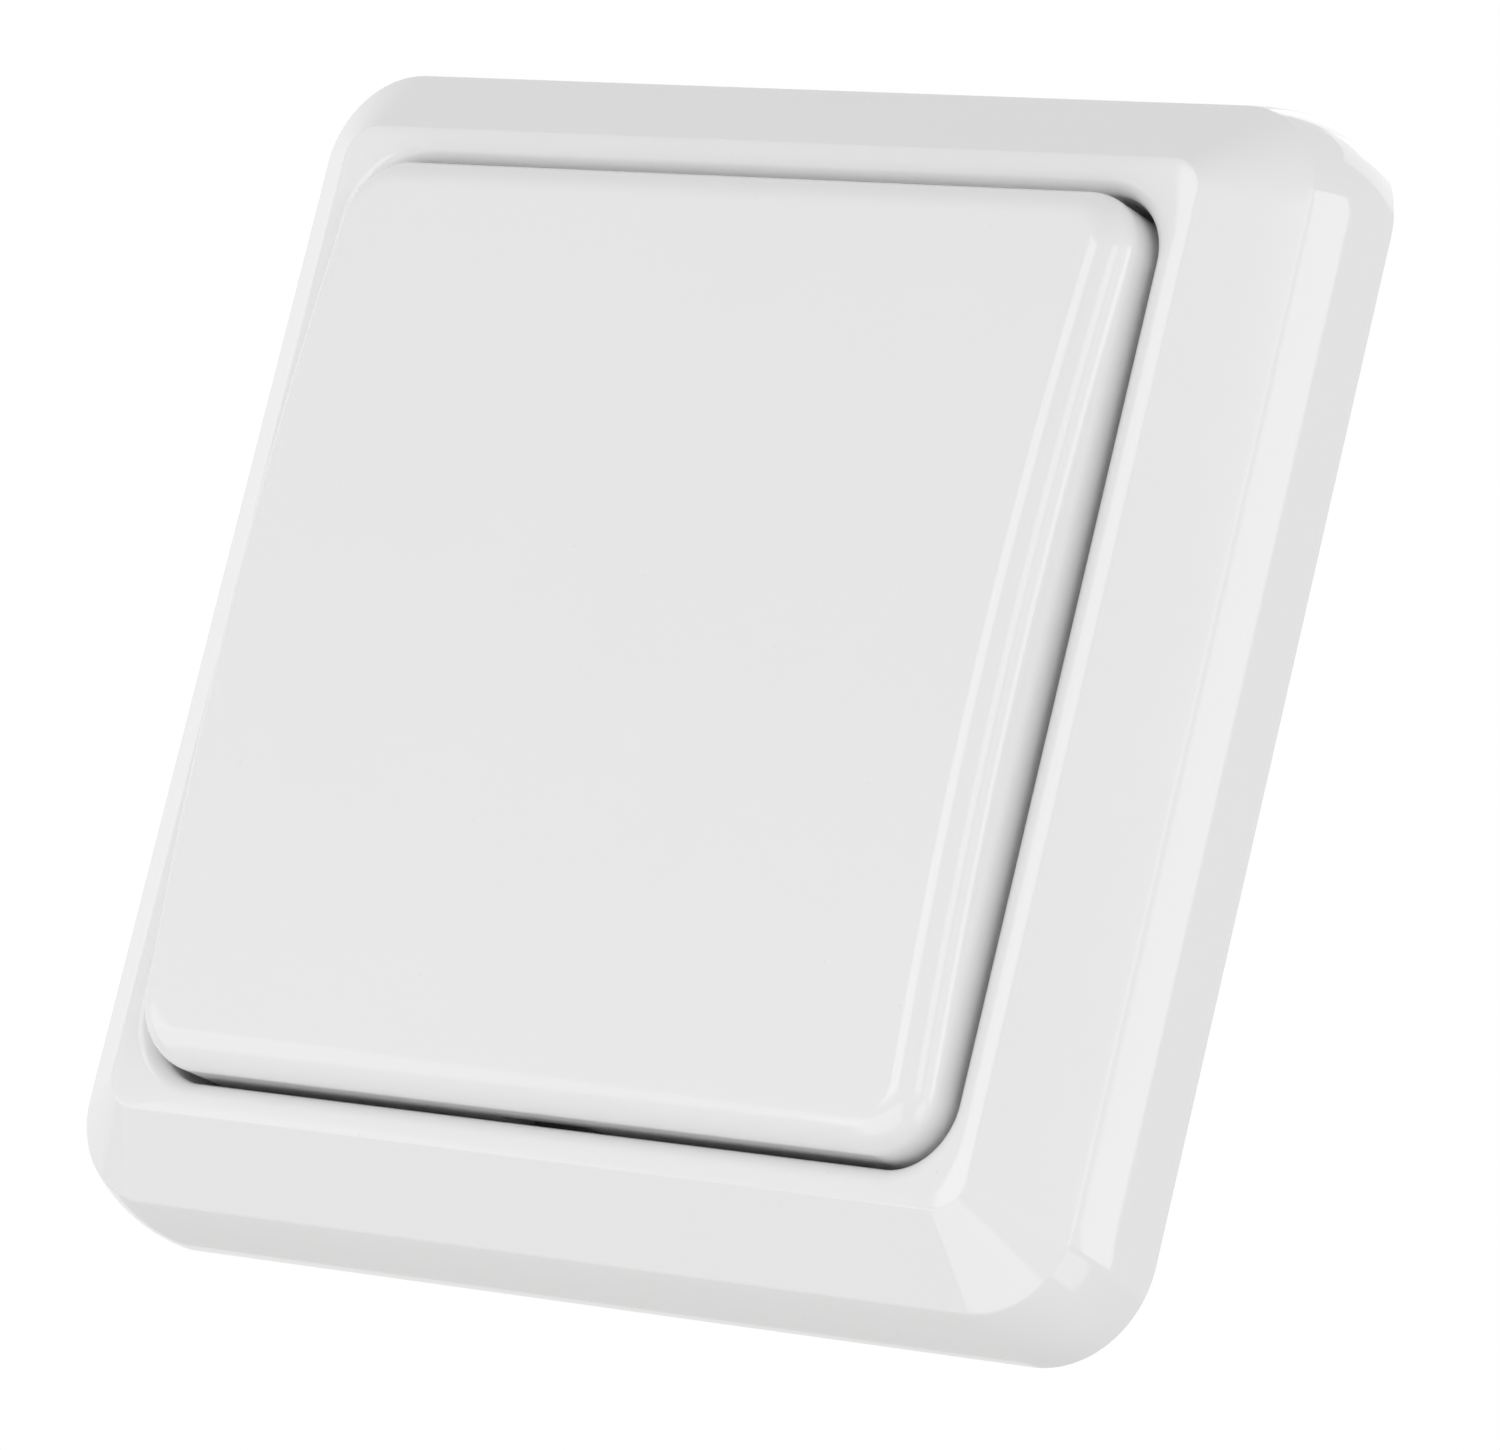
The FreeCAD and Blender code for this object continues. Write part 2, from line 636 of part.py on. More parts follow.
shoulder_ring = rounded_square(
    new_sketch(frame, "shoulder_ring", at=(None, None, "shoulder_height")), "shoulder_width", "shoulder_corner")
ceiling_ring = rounded_square(
    new_sketch(frame, "ceiling_ring", at=(None, None, "cavity_top")), "skirt_width", "cavity_corner")
loft(frame, "cavity", "SubtractiveLoft", [recess_ring, shoulder_ring, ceiling_ring], ruled=True)
skirt_block = rounded_square(
    new_sketch(frame, "skirt_block", at=(None, None, "ledge_back")), "skirt_width", "skirt_corner")
pad(frame, "skirt", skirt_block, "skirt_rise")
rib_sides = []
for side, place in (("left", "-frame_rib_place"), ("right", "frame_rib_place")):
    rib_profile = rectangle(
        new_sketch(frame, f"rib_{side}_profile", at=("rib_centre", place, "ledge_back")),
        "rib_reach", "frame_rib_thick")
    rib_sides.append(pad(frame, f"rib_{side}", rib_profile, "rib_rise"))
around(frame, "ribs", rib_sides)
opening = rounded_square(
    new_sketch(frame, "opening_outline", at=(None, None, "crest_height")), "opening_width", "opening_corner")
pocket(frame, "opening", opening, "opening_depth")
window = rounded_square(
    new_sketch(frame, "window_outline", at=(None, None, "ledge_top")), "ledge_window", "ledge_corner")
through(frame, "ledge_window_cut", window)
notch = rectangle(
    new_sketch(frame, "notch_outline", at=("notch_centre", "hook_place", "ledge_top")),
    "notch_reach", "notch_width")
around(frame, "hook_notches", [through(frame, "hook_notch", notch)])
round_edges(frame, "lip", "lip_round", level_ring(size("crest_height"), size("opening_half")))
round_edges(frame, "crest", "crest_round", level_ring(size("crest_height"), size("crest_width") / 2))
round_edges(frame, "crisp_edge", "edge_round", level_ring(size("edge_height"), size("edge_width") / 2))

# The wall plate: screwed to the wall by four slots, with pads that carry the frame's ledge
# and hooks that hold the tray's flange down on that ledge.
plate = new_body("wall_plate")
plate_outline = rounded_square(new_sketch(plate, "plate_outline"), "plate_width", "plate_corner")
pad(plate, "sheet", plate_outline, "plate_thick")
pad_outline = rectangle(
    new_sketch(plate, "pad_outline", at=("pad_centre", "pad_centre", "plate_thick")), "pad_width", "pad_width")
around(plate, "corner_pads", [pad(plate, "corner_pad", pad_outline, "pad_height")])
hook_profile = outline(
    new_sketch(plate, "hook_profile", plane="XZ_Plane", at=(None, None, "-hook_place")),
    [("hook_inner", "hook_root"), ("hook_outer", "hook_root"), ("hook_outer", "hook_top"),
     ("hook_inner", "hook_top"), ("hook_nose", "hook_lead"), ("hook_nose", "hook_seat"),
     ("hook_inner", "hook_seat")])
around(plate, "hooks", [pad(plate, "hook", hook_profile, "hook_width", both_ways=True)])
screw_slot = slot(
    new_sketch(plate, "screw_slot_outline", at=("slot_half", None, "plate_thick")), "slot_run", "slot_radius")
around(plate, "screw_slots", [through(plate, "screw_slot", screw_slot)])

# The unit tray: an open box whose flange rests on the frame's ledge, with four screw bosses
# and four standoffs for the board.
tray = new_body("unit_tray")
tray_outline = rounded_square(
    new_sketch(tray, "tray_outline", at=(None, None, "tray_bottom")), "tray_width", "tray_corner")
pad(tray, "box", tray_outline, "tray_depth")
flange_outline = rounded_square(
    new_sketch(tray, "flange_outline", at=(None, None, "ledge_top")), "flange_width", "flange_corner")
pad(tray, "flange", flange_outline, "flange_thick")
bay_outline = rounded_square(
    new_sketch(tray, "bay_outline", at=(None, None, "flange_top")), "bay_width", "bay_corner")
pocket(tray, "bay", bay_outline, "bay_depth")
boss_outline = circle(
    new_sketch(tray, "boss_outline", at=("boss_place", "boss_place", "floor_top")), "boss_radius")
pilot_outline = circle(
    new_sketch(tray, "pilot_outline", at=("boss_place", "boss_place", "flange_top")), "pilot_radius")
boss = pad(tray, "boss", boss_outline, "bay_depth")
pilot = pocket(tray, "pilot_hole", pilot_outline, "bay_depth")
around(tray, "bosses", [boss, pilot])
standoff_outline = circle(
    new_sketch(tray, "standoff_outline", at=("standoff_place", None, "floor_top")), "standoff_radius")
around(tray, "standoffs", [pad(tray, "standoff", standoff_outline, "standoff_height")])

# The circuit board, bored round the four bosses.
board = new_body("circuit_board")
board_outline = rounded_square(
    new_sketch(board, "board_outline", at=(None, None, "board_bottom")), "board_width", "board_corner")
pad(board, "laminate", board_outline, "board_thick")
clearance_hole = circle(
    new_sketch(board, "clearance_outline", at=("boss_place", "boss_place", "board_top")), "board_hole")
around(board, "clearance_holes", [through(board, "clearance_hole", clearance_hole)])

# The unit cover: a lid over the board with windows for the cell and the two switches,
# four screw posts, and a pivot stub on each side for the rocker.
lid = new_body("unit_cover")
lid_outline = rounded_square(
    new_sketch(lid, "lid_outline", at=(None, None, "flange_top")), "tray_width", "tray_corner")
pad(lid, "lid_block", lid_outline, "lid_rise")
lid_bay_outline = rounded_square(
    new_sketch(lid, "lid_bay_outline", at=(None, None, "flange_top")), "lid_bay", "lid_bay_corner")
pocket(lid, "lid_bay", lid_bay_outline, "lid_inside", turned=True)
post_outline = circle(
    new_sketch(lid, "post_outline", at=("boss_place", "boss_place", "flange_top")), "boss_radius")
post = pad(lid, "post", post_outline, "lid_inside")
post_hole_outline = circle(
    new_sketch(lid, "post_hole_outline", at=("boss_place", "boss_place", "lid_top")), "screw_hole")
post_hole = through(lid, "post_hole", post_hole_outline)
well_outline = circle(
    new_sketch(lid, "well_outline", at=("boss_place", "boss_place", "lid_top")), "head_well")
well = pocket(lid, "head_well_cut", well_outline, "lid_roof")
around(lid, "posts", [post, post_hole, well])
cell_window = circle(new_sketch(lid, "cell_window_outline", at=(None, None, "lid_top")), "cell_window")
through(lid, "cell_window_cut", cell_window)
switch_window = rounded_square(
    new_sketch(lid, "switch_window_outline", at=(None, "switch_place", "lid_top")),
    "switch_window", "switch_round")
mirrored(lid, "switch_windows", [through(lid, "switch_window_cut", switch_window)], "XZ_Plane")
stub_outline = circle(
    new_sketch(lid, "stub_outline", plane="YZ_Plane", at=(None, "pivot_height", "stub_start")), "stub_radius")
mirrored(lid, "pivot_stubs", [pad(lid, "pivot_stub", stub_outline, "stub_run")], "YZ_Plane")
round_edges(lid, "lid_edge", "lid_round", level_ring(size("lid_top"), size("tray_half")))

# Four screws hold the cover's posts down on the tray's bosses.
screws = new_body("cover_screws")
screws.AllowCompound = True
shank_outline = circle(
    new_sketch(screws, "shank_outline", at=("boss_place", "boss_place", "screw_tip")), "screw_radius")
head_outline = circle(
    new_sketch(screws, "head_outline", at=("boss_place", "boss_place", "lid_underside")), "head_radius")
drive_outline = rectangle(
    new_sketch(screws, "drive_outline", at=("boss_place", "boss_place", "head_top")),
    "drive_length", "drive_width")
shank = pad(screws, "shank", shank_outline, "screw_length")
head = pad(screws, "head", head_outline, "head_height")
drive = pocket(screws, "drive_slot", drive_outline, "drive_depth")
around(screws, "four_screws", [shank, head, drive])

# The coin cell: a can with a stepped cap on the side that faces the board.
cell = new_body("coin_cell")
can_profile = outline(
    new_sketch(cell, "can_profile", plane="XZ_Plane"),
    [(None, "cell_bottom"), ("cell_cap_radius", "cell_bottom"), ("cell_cap_radius", "cell_waist"),
     ("cell_radius", "cell_waist"), ("cell_radius", "can_shoulder"), ("can_rim", "cell_top"),
     (None, "cell_top")])
revolve(cell, "turned_can", can_profile)

# The positive contact: a springy arc beside the cell, on a foot that is soldered to the board.
clip = new_body("cell_clip")
clip_profile = outline(
    new_sketch(clip, "clip_profile", plane="XZ_Plane"),
    [("clip_inner", "board_top"), ("clip_end", "board_top"), ("clip_end", "contact_top"),
     ("clip_outer", "contact_top"), ("clip_outer", "clip_top"), ("clip_inner", "clip_top")])
clip_arc = clip.newObject("PartDesign::Revolution", "clip_arc")
clip_arc.Profile = clip_profile
clip_arc.ReferenceAxis = (clip_profile, ["V_Axis"])
clip_arc.Midplane = True
clip_arc.setExpression("Angle", binding("clip_sweep"))

# The negative contact: a strip on the board, bowed up in the middle under the cell's cap.
strip = new_body("cell_spring")
strip_profile = outline(
    new_sketch(strip, "strip_profile", plane="XZ_Plane"),
    [("-strip_half", "board_top"), ("-strip_heel", "board_top"), ("-strip_toe", "strip_tip_back"),
     ("strip_toe", "strip_tip_back"), ("strip_heel", "board_top"), ("strip_half", "board_top"),
     ("strip_half", "contact_top"), ("strip_heel", "contact_top"), ("strip_toe", "strip_tip"),
     ("-strip_toe", "strip_tip"), ("-strip_heel", "contact_top"), ("-strip_half", "contact_top")])
pad(strip, "bowed_strip", strip_profile, "strip_width", both_ways=True)

# The push switches: a square housing with a round chamber, a stem whose collar runs in it,
# and a coil spring under the collar. At rest the rocker holds both stems half-way down.
for label, place, place_back in (
        ("upper", "switch_place", "-switch_place"), ("lower", "-switch_place", "switch_place")):
    housing = new_body("switch_housing_" + label)
    housing_outline = rounded_square(
        new_sketch(housing, "housing_outline", at=(None, place, "board_top")), "switch_width", "switch_round")
    chamber_outline = circle(
        new_sketch(housing, "chamber_outline", at=(None, place, "chamber_floor")), "chamber_radius")
    guide_outline = circle(
        new_sketch(housing, "guide_outline", at=(None, place, "switch_top")), "guide_radius")
    pad(housing, "housing_block", housing_outline, "switch_height")
    pocket(housing, "chamber", chamber_outline, "chamber_depth", turned=True)
    pocket(housing, "guide", guide_outline, "switch_roof")

    stem = new_body("switch_stem_" + label)
    stem_profile = outline(
        new_sketch(stem, "stem_profile", plane="XZ_Plane", at=(None, None, place_back)),
        [(None, "collar_bottom"), ("collar_radius", "collar_bottom"), ("collar_radius", "collar_top"),
         ("stem_radius", "collar_top"), ("stem_radius", "stem_shoulder"), ("stem_crown", "stem_top"),
         (None, "stem_top")])
    revolve(stem, "turned_stem", stem_profile)

    helix = doc.addObject("Part::Helix", "helix_" + label)
    helix.setExpression("Pitch", binding("coil_pitch"))
    helix.setExpression("Height", binding("coil_height"))
    helix.setExpression("Radius", binding("coil_radius"))
    helix.setExpression("Placement.Base.y", binding(place))
    helix.setExpression("Placement.Base.z", binding("coil_start"))
    wire_section = doc.addObject("Part::RegularPolygon", "wire_" + label)
    wire_section.Polygon = wire_sides
    wire_section.setExpression("Circumradius", binding("coil_wire"))
    wire_section.Placement = Placement(Vector(0, 0, 0), Rotation(Vector(1, 0, 0), 90))
    wire_section.setExpression("Placement.Base.x", binding("coil_radius"))
    wire_section.setExpression("Placement.Base.y", binding(place))
    wire_section.setExpression("Placement.Base.z", binding("coil_start"))
    coil = doc.addObject("Part::Sweep", "coil_" + label)
    coil.Sections = [wire_section]
    coil.Spine = (helix, ["Edge1"])
    coil.Solid = True
    coil.Frenet = True
    keep(coil, "switch_spring_" + label)

# The eight solder legs of the two switches.
legs = new_body("switch_legs")
legs.AllowCompound = True
leg_pads = []
for label, place in (("near", "leg_row_near"), ("far", "leg_row_far")):
    leg_profile = outline(
        new_sketch(legs, f"leg_{label}_profile", plane="XZ_Plane", at=(None, None, "-" + place)),
        [("switch_half", "board_top"), ("leg_end", "board_top"), ("leg_end", "leg_foot_top"),
         ("leg_bend", "leg_foot_top"), ("leg_bend", "leg_top"), ("switch_half", "leg_top")])
    leg_pads.append(pad(legs, "leg_" + label, leg_profile, "leg_width", both_ways=True))
both_sides = legs.newObject("PartDesign::MultiTransform", "eight_legs")
across = legs.newObject("PartDesign::Mirrored", "across")
across.MirrorPlane = (origin_part(legs, "YZ_Plane"), [""])
along = legs.newObject("PartDesign::Mirrored", "along")
along.MirrorPlane = (origin_part(legs, "XZ_Plane"), [""])
both_sides.Originals = leg_pads
both_sides.Transformations = [across, along]
legs.Tip = both_sides

# The rocker: a hollow cap, crowned up and down its height, with rounded edges, a notch for a
# fingernail in its lower skirt, two nibs over the switches and two snap bearings for the stubs.
rocker = new_body("rocker_cap")
rocker_outline = rounded_square(
    new_sketch(rocker, "rocker_outline", at=(None, None, "rocker_bottom")), "rocker_width", "rocker_corner")
pad(rocker, "blank", rocker_outline, "rocker_blank")
crown_profile = crowned(
    new_sketch(rocker, "crown_profile", plane="YZ_Plane"), "crown_half", "crown_radius", "crown_reach",
    "crown_sky")
pocket(rocker, "crown", crown_profile, "crown_width", both_ways=True)
round_edges(rocker, "soft_edge", "rocker_round", lambda box: box.ZMin > size("crown_end") - close)
hollow_profile = crowned(
    new_sketch(rocker, "hollow_profile", plane="YZ_Plane"), "hollow_half", "hollow_radius", "hollow_end",
    "hollow_floor")
pocket(rocker, "hollow", hollow_profile, "hollow_width", both_ways=True)


def hollow_upright(box):
    """Picks the four upright edges inside the rocker's skirt."""
    reach = size("hollow_half")
    slim = box.XLength < close and box.YLength < close and box.ZLength > close
    return slim and abs(abs(box.XMin) - reach) < close and abs(abs(box.YMin) - reach) < close


round_edges(rocker, "hollow_corners", "hollow_corner", hollow_upright)
nib_outline = circle(
    new_sketch(rocker, "nib_outline", at=(None, "switch_place", "nib_level")), "nib_radius")
mirrored(rocker, "nibs", [pad(rocker, "nib", nib_outline, "nib_rise")], "XZ_Plane")
cross_rib_outline = rectangle(
    new_sketch(rocker, "cross_rib_outline", at=(None, "cross_rib_place", "roof_rib_level")),
    "cross_rib_run", "roof_rib_thick")
mirrored(rocker, "cross_ribs", [pad(rocker, "cross_rib", cross_rib_outline, "cross_rib_rise")], "XZ_Plane")
long_rib_outline = rectangle(
    new_sketch(rocker, "long_rib_outline", at=("long_rib_place", None, "roof_rib_level")),
    "roof_rib_thick", "long_rib_run")
mirrored(rocker, "long_ribs", [pad(rocker, "long_rib", long_rib_outline, "long_rib_rise")], "YZ_Plane")
lug_outline = rectangle(
    new_sketch(rocker, "lug_outline", at=("lug_centre", None, "lug_bottom")), "lug_thick", "lug_width")
mirrored(rocker, "lugs", [pad(rocker, "lug", lug_outline, "lug_rise")], "YZ_Plane")
bearing_outline = circle(
    new_sketch(rocker, "bearing_outline", plane="YZ_Plane", at=(None, "pivot_height", None)), "bearing_radius")
pocket(rocker, "snap_bearings", bearing_outline, "bearing_reach", both_ways=True)
pry_outline = rectangle(
    new_sketch(rocker, "pry_outline", at=(None, "-pry_centre", "rocker_bottom")), "pry_width", "pry_depth")
pocket(rocker, "pry_notch", pry_outline, "pry_height", turned=True)


def block(label, across, up, width, depth, height):
    """A small part that lies on the board."""
    piece = new_body(label)
    base = new_sketch(piece, label + "_outline", at=(across, up, "board_top"))
    rectangle(base, width, depth)
    return piece, pad(piece, label + "_body", base, height)


def row(piece, name, feature, axis, run, count):
    """Copies of a feature, evenly spaced along one of the body's axes."""
    pattern = piece.newObject("PartDesign::LinearPattern", name)
    pattern.Originals = [feature]
    pattern.Direction = (origin_part(piece, axis), [""])
    pattern.setExpression("Length", binding(run))
    pattern.Occurrences = count
    piece.Tip = pattern


# The radio parts: a transceiver, its crystal, a column of capacitors, a row of resistors
# and a coil aerial that stands clear of the cell.
block("radio_chip", "-chip_side", "chip_up", "chip_width", "chip_width", "chip_height")
block("crystal", "-chip_side", "crystal_up", "crystal_width", "crystal_depth", "crystal_height")
capacitors, first_capacitor = block(
    "chip_capacitors", "-capacitor_side", "crystal_up", "small_length", "small_width", "capacitor_height")
capacitors.AllowCompound = True
row(capacitors, "capacitor_column", first_capacitor, "Y_Axis", "capacitor_run", capacitor_count)
resistors, first_resistor = block(
    "chip_resistors", "-chip_side", "resistor_up", "small_width", "small_length", "resistor_height")
resistors.AllowCompound = True
row(resistors, "resistor_row", first_resistor, "X_Axis", "resistor_run", resistor_count)

aerial_path = doc.addObject("Part::Helix", "aerial_path")
aerial_path.setExpression("Pitch", binding("aerial_pitch"))
aerial_path.setExpression("Height", binding("aerial_length"))
aerial_path.setExpression("Radius", binding("aerial_radius"))
aerial_path.Placement = Placement(Vector(0, 0, 0), Rotation(Vector(1, 0, 0), -90))
aerial_path.setExpression("Placement.Base.x", binding("aerial_side"))
aerial_path.setExpression("Placement.Base.y", binding("aerial_start"))
aerial_path.setExpression("Placement.Base.z", binding("aerial_level"))
aerial_section = doc.addObject("Part::RegularPolygon", "aerial_section")
aerial_section.Polygon = wire_sides
aerial_section.setExpression("Circumradius", binding("aerial_wire"))
aerial_section.setExpression("Placement.Base.x", binding("aerial_edge"))
aerial_section.setExpression("Placement.Base.y", binding("aerial_start"))
aerial_section.setExpression("Placement.Base.z", binding("aerial_level"))
aerial = doc.addObject("Part::Sweep", "aerial")
aerial.Sections = [aerial_section]
aerial.Spine = (aerial_path, ["Edge1"])
aerial.Solid = True
aerial.Frenet = True
keep(aerial, "aerial_coil")

doc.recompute()
failed = [item.Name for item in doc.Objects if {"Invalid", "Error"} & set(item.State)]
if failed:
    raise RuntimeError("failed: " + ", ".join(failed))
for piece in nodes:
    if piece.Shape.isNull() or not piece.Shape.isValid():
        raise RuntimeError("bad shape: " + piece.Label)

os.makedirs("parts", exist_ok=True)
for piece in nodes:
    piece.Shape.exportStep(os.path.join("parts", piece.Label + ".step"))
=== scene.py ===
import math
import bmesh
import bpy
from mathutils import Matrix, Vector


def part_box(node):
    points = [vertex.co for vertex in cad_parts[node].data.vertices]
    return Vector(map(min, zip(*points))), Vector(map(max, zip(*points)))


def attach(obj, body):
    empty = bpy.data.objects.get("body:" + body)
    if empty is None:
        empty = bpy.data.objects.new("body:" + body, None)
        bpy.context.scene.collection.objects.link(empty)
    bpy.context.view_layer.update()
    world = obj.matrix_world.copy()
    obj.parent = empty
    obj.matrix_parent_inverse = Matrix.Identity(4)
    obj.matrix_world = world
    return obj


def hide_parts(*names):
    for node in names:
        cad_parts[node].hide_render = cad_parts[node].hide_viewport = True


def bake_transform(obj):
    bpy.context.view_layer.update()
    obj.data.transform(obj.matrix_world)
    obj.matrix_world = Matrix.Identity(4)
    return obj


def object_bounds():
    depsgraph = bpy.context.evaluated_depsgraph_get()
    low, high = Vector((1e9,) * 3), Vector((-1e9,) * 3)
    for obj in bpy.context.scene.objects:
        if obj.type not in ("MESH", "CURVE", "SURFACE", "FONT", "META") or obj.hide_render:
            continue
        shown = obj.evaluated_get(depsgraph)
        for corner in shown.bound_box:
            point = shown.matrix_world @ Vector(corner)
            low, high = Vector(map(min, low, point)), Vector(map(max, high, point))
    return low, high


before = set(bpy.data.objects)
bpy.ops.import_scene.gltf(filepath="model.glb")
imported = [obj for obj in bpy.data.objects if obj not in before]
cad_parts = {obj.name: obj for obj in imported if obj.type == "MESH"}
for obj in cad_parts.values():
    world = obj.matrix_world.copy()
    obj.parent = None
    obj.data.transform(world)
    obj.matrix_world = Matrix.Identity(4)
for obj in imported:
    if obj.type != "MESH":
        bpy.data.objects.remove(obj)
cadLow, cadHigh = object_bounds()
print("CAD pieces loaded:", len(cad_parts))

mm = 0.001
wallPlane = cadHigh.y                            # the switch lies against the wall at y = 0
quarterTurn = math.pi / 2
cornerSigns = [(1, 1), (-1, 1), (-1, -1), (1, -1)]
weldGap = 0.0005 * mm                            # vertices nearer than this are one
rodSides = 40


# Square rings with round corners: how both white mouldings are drawn.
# A ring is (half its width, corner radius, height off the wall).
def selectOnly(piece, wanted):                   # picks vertices of the piece in edit mode by a test
    mesh = bmesh.from_edit_mesh(piece.data)
    for vertex in mesh.verts:
        vertex.select_set(wanted(vertex))
    mesh.select_flush(True)
    bmesh.update_edit_mesh(piece.data, loop_triangles=False)


def firstRing(name, ring, segments):
    half, corner, level = ring
    bpy.ops.object.select_all(action="DESELECT")
    bpy.ops.mesh.primitive_plane_add(size=2 * half, location=(0, wallPlane - level, 0),
                                     rotation=(quarterTurn, 0, 0))
    piece = bpy.context.object
    piece.name = name
    piece.data.name = name
    bpy.ops.object.transform_apply(location=True, rotation=True, scale=True)
    bpy.ops.object.mode_set(mode="EDIT")
    bpy.ops.mesh.select_mode(type="VERT")
    bpy.ops.mesh.select_all(action="SELECT")
    bpy.ops.mesh.bevel(offset=corner, segments=segments, affect="VERTICES", profile=0.5)
    bpy.ops.mesh.select_all(action="SELECT")
    bpy.ops.mesh.delete(type="ONLY_FACE")
    bpy.ops.mesh.select_all(action="SELECT")
    return piece


def nextRing(piece, ring, target):               # extrudes the selected ring, then sets each corner
    half, corner, level = ring
    newHalf, newCorner, newLevel = target
    bpy.ops.mesh.extrude_edges_move()
    mesh = bmesh.from_edit_mesh(piece.data)
    picked = {vertex.index for vertex in mesh.verts if vertex.select}
    middle, newMiddle = half - corner, newHalf - newCorner
    for signX, signZ in cornerSigns:
        selectOnly(piece, lambda v: v.index in picked and v.co.x * signX > 0 and v.co.z * signZ > 0)
        centre = (signX * middle, wallPlane - level, signZ * middle)
        ratio = newCorner / corner
        bpy.ops.transform.resize(value=(ratio, 1, ratio), center_override=centre)
        shift = newMiddle - middle
        bpy.ops.transform.translate(value=(signX * shift, level - newLevel, signZ * shift))
    selectOnly(piece, lambda v: v.index in picked)


def sweepRings(name, rings, segments):
    piece = firstRing(name, rings[0], segments)
    for ring, target in zip(rings, rings[1:]):
        nextRing(piece, ring, target)
    return piece


def closeShell(piece):                           # leaves edit mode with one shell, its faces outwards
    bpy.ops.mesh.select_all(action="SELECT")
    bpy.ops.mesh.remove_doubles(threshold=weldGap)
    bpy.ops.mesh.normals_make_consistent(inside=False)
    bpy.ops.object.mode_set(mode="OBJECT")


def makeActive(piece):
    bpy.ops.object.select_all(action="DESELECT")
    piece.select_set(True)
    bpy.context.view_layer.objects.active = piece


def smoothShell(piece, creaseAngle):             # smooth but for real creases
    makeActive(piece)
    bpy.ops.object.shade_smooth_by_angle(angle=creaseAngle)


# Moulded-in details are drawn as (across, up, height off the wall), turned by quarters about the middle.
def blockAt(low, high, quarter=0):
    middle, span = (low + high) / 2, high - low
    bpy.ops.object.select_all(action="DESELECT")
    bpy.ops.mesh.primitive_cube_add(size=1, location=(middle.x, wallPlane - middle.z, middle.y))
    bpy.ops.transform.resize(value=(span.x, span.z, span.y))
    bpy.ops.transform.rotate(value=quarter * quarterTurn, orient_axis="Y", center_override=(0, 0, 0))
    bpy.ops.object.transform_apply(location=True, rotation=True, scale=True)
    return bpy.context.object


def rodAt(centre, radius, length, sideways=False):      # along the depth, or across where sideways
    turn = (0, quarterTurn, 0) if sideways else (quarterTurn, 0, 0)
    bpy.ops.object.select_all(action="DESELECT")
    bpy.ops.mesh.primitive_cylinder_add(vertices=rodSides, radius=radius, depth=length, rotation=turn,
                                        location=(centre.x, wallPlane - centre.z, centre.y))
    bpy.ops.object.transform_apply(location=True, rotation=True, scale=True)
    return bpy.context.object


def shapeWith(piece, tool, operation):
    makeActive(piece)
    step = piece.modifiers.new("shaping", "BOOLEAN")
    step.operation = operation
    step.solver = "EXACT"
    step.object = tool
    bpy.ops.object.modifier_apply(modifier=step.name)
    bpy.data.objects.remove(tool)


# Rings along a round: an angle of 0 faces off the wall, a quarter turn faces outwards.
def arcRings(centreHalf, centreCorner, centreLevel, radius, start, end, steps):
    rings = []
    for step in range(steps + 1):
        angle = start + (end - start) * step / steps
        reach = radius * math.sin(angle)
        rings.append((centreHalf + reach, centreCorner + reach, centreLevel + radius * math.cos(angle)))
    return rings


def between(ring, target, share):
    return tuple(a + (b - a) * share for a, b in zip(ring, target))


# The cover frame, from its bowed side over the crisp edge, the sloping face and the lip
# into the opening. Its corner radii differ from ring to ring, so its corners fan out.
coverFrame = {
    "name": "cover_frame_shell",
    "segments": 24,
    "backCorner": 7.1 * mm,
    "sideLean": 1.4 * mm,
    "sideBow": 0.0263,                           # how fast the side leans in, per millimetre of height
    "sideSteps": 12,
    "backBreak": 0.15 * mm,
    "edgeHeight": 7.5 * mm,
    "edgeCorner": 6.3 * mm,
    "edgeRound": 0.6 * mm,
    "edgeSteps": 6,
    "crestRound": 0.3 * mm,
    "crestSteps": 5,
    "landTilt": math.radians(17),                # the lip's land turns away this far before the crest
    "landRound": 3.3 * mm,
    "landSteps": 9,
    "landCorner": 5.65 * mm,
    "crestCorner": 2.2 * mm,                     # rather sharp, where the sloping faces meet
    "lipHeight": 12.3 * mm,
    "openingHalf": 31.15 * mm,
    "openingCorner": 4.4 * mm,
    "lipRound": 1.25 * mm,
    "lipSteps": 16,
    "rimWall": 1.9 * mm,
    "faceWall": 2.0 * mm,
    "skirtWall": 2.0 * mm,
    "ledgeTop": 4.6 * mm,
    "ledgeBack": 3.6 * mm,
    "windowHalf": 25.4 * mm,
    "windowCorner": 3.4 * mm,
    "hold": 0.12 * mm,                           # width of the loops that hold each round's ends
    "ribs": {"place": 19.0 * mm, "thick": 1.0 * mm, "bite": 0.5 * mm},
    "notches": {"place": 14.0 * mm, "width": 7.6 * mm, "near": 24.3 * mm, "far": 28.6 * mm},
    "creaseAngle": math.radians(35),
}


def roundBetween(ring, tiltIn, tiltOut, radius, steps):         # a round at a ring where two tilts meet
    half, corner, level = ring
    reach = radius / math.cos((tiltIn - tiltOut) / 2)
    middle = (tiltIn + tiltOut) / 2
    inwards, down = reach * math.sin(middle), reach * math.cos(middle)
    return arcRings(half - inwards, corner - inwards, level - down, radius, tiltIn, tiltOut, steps)


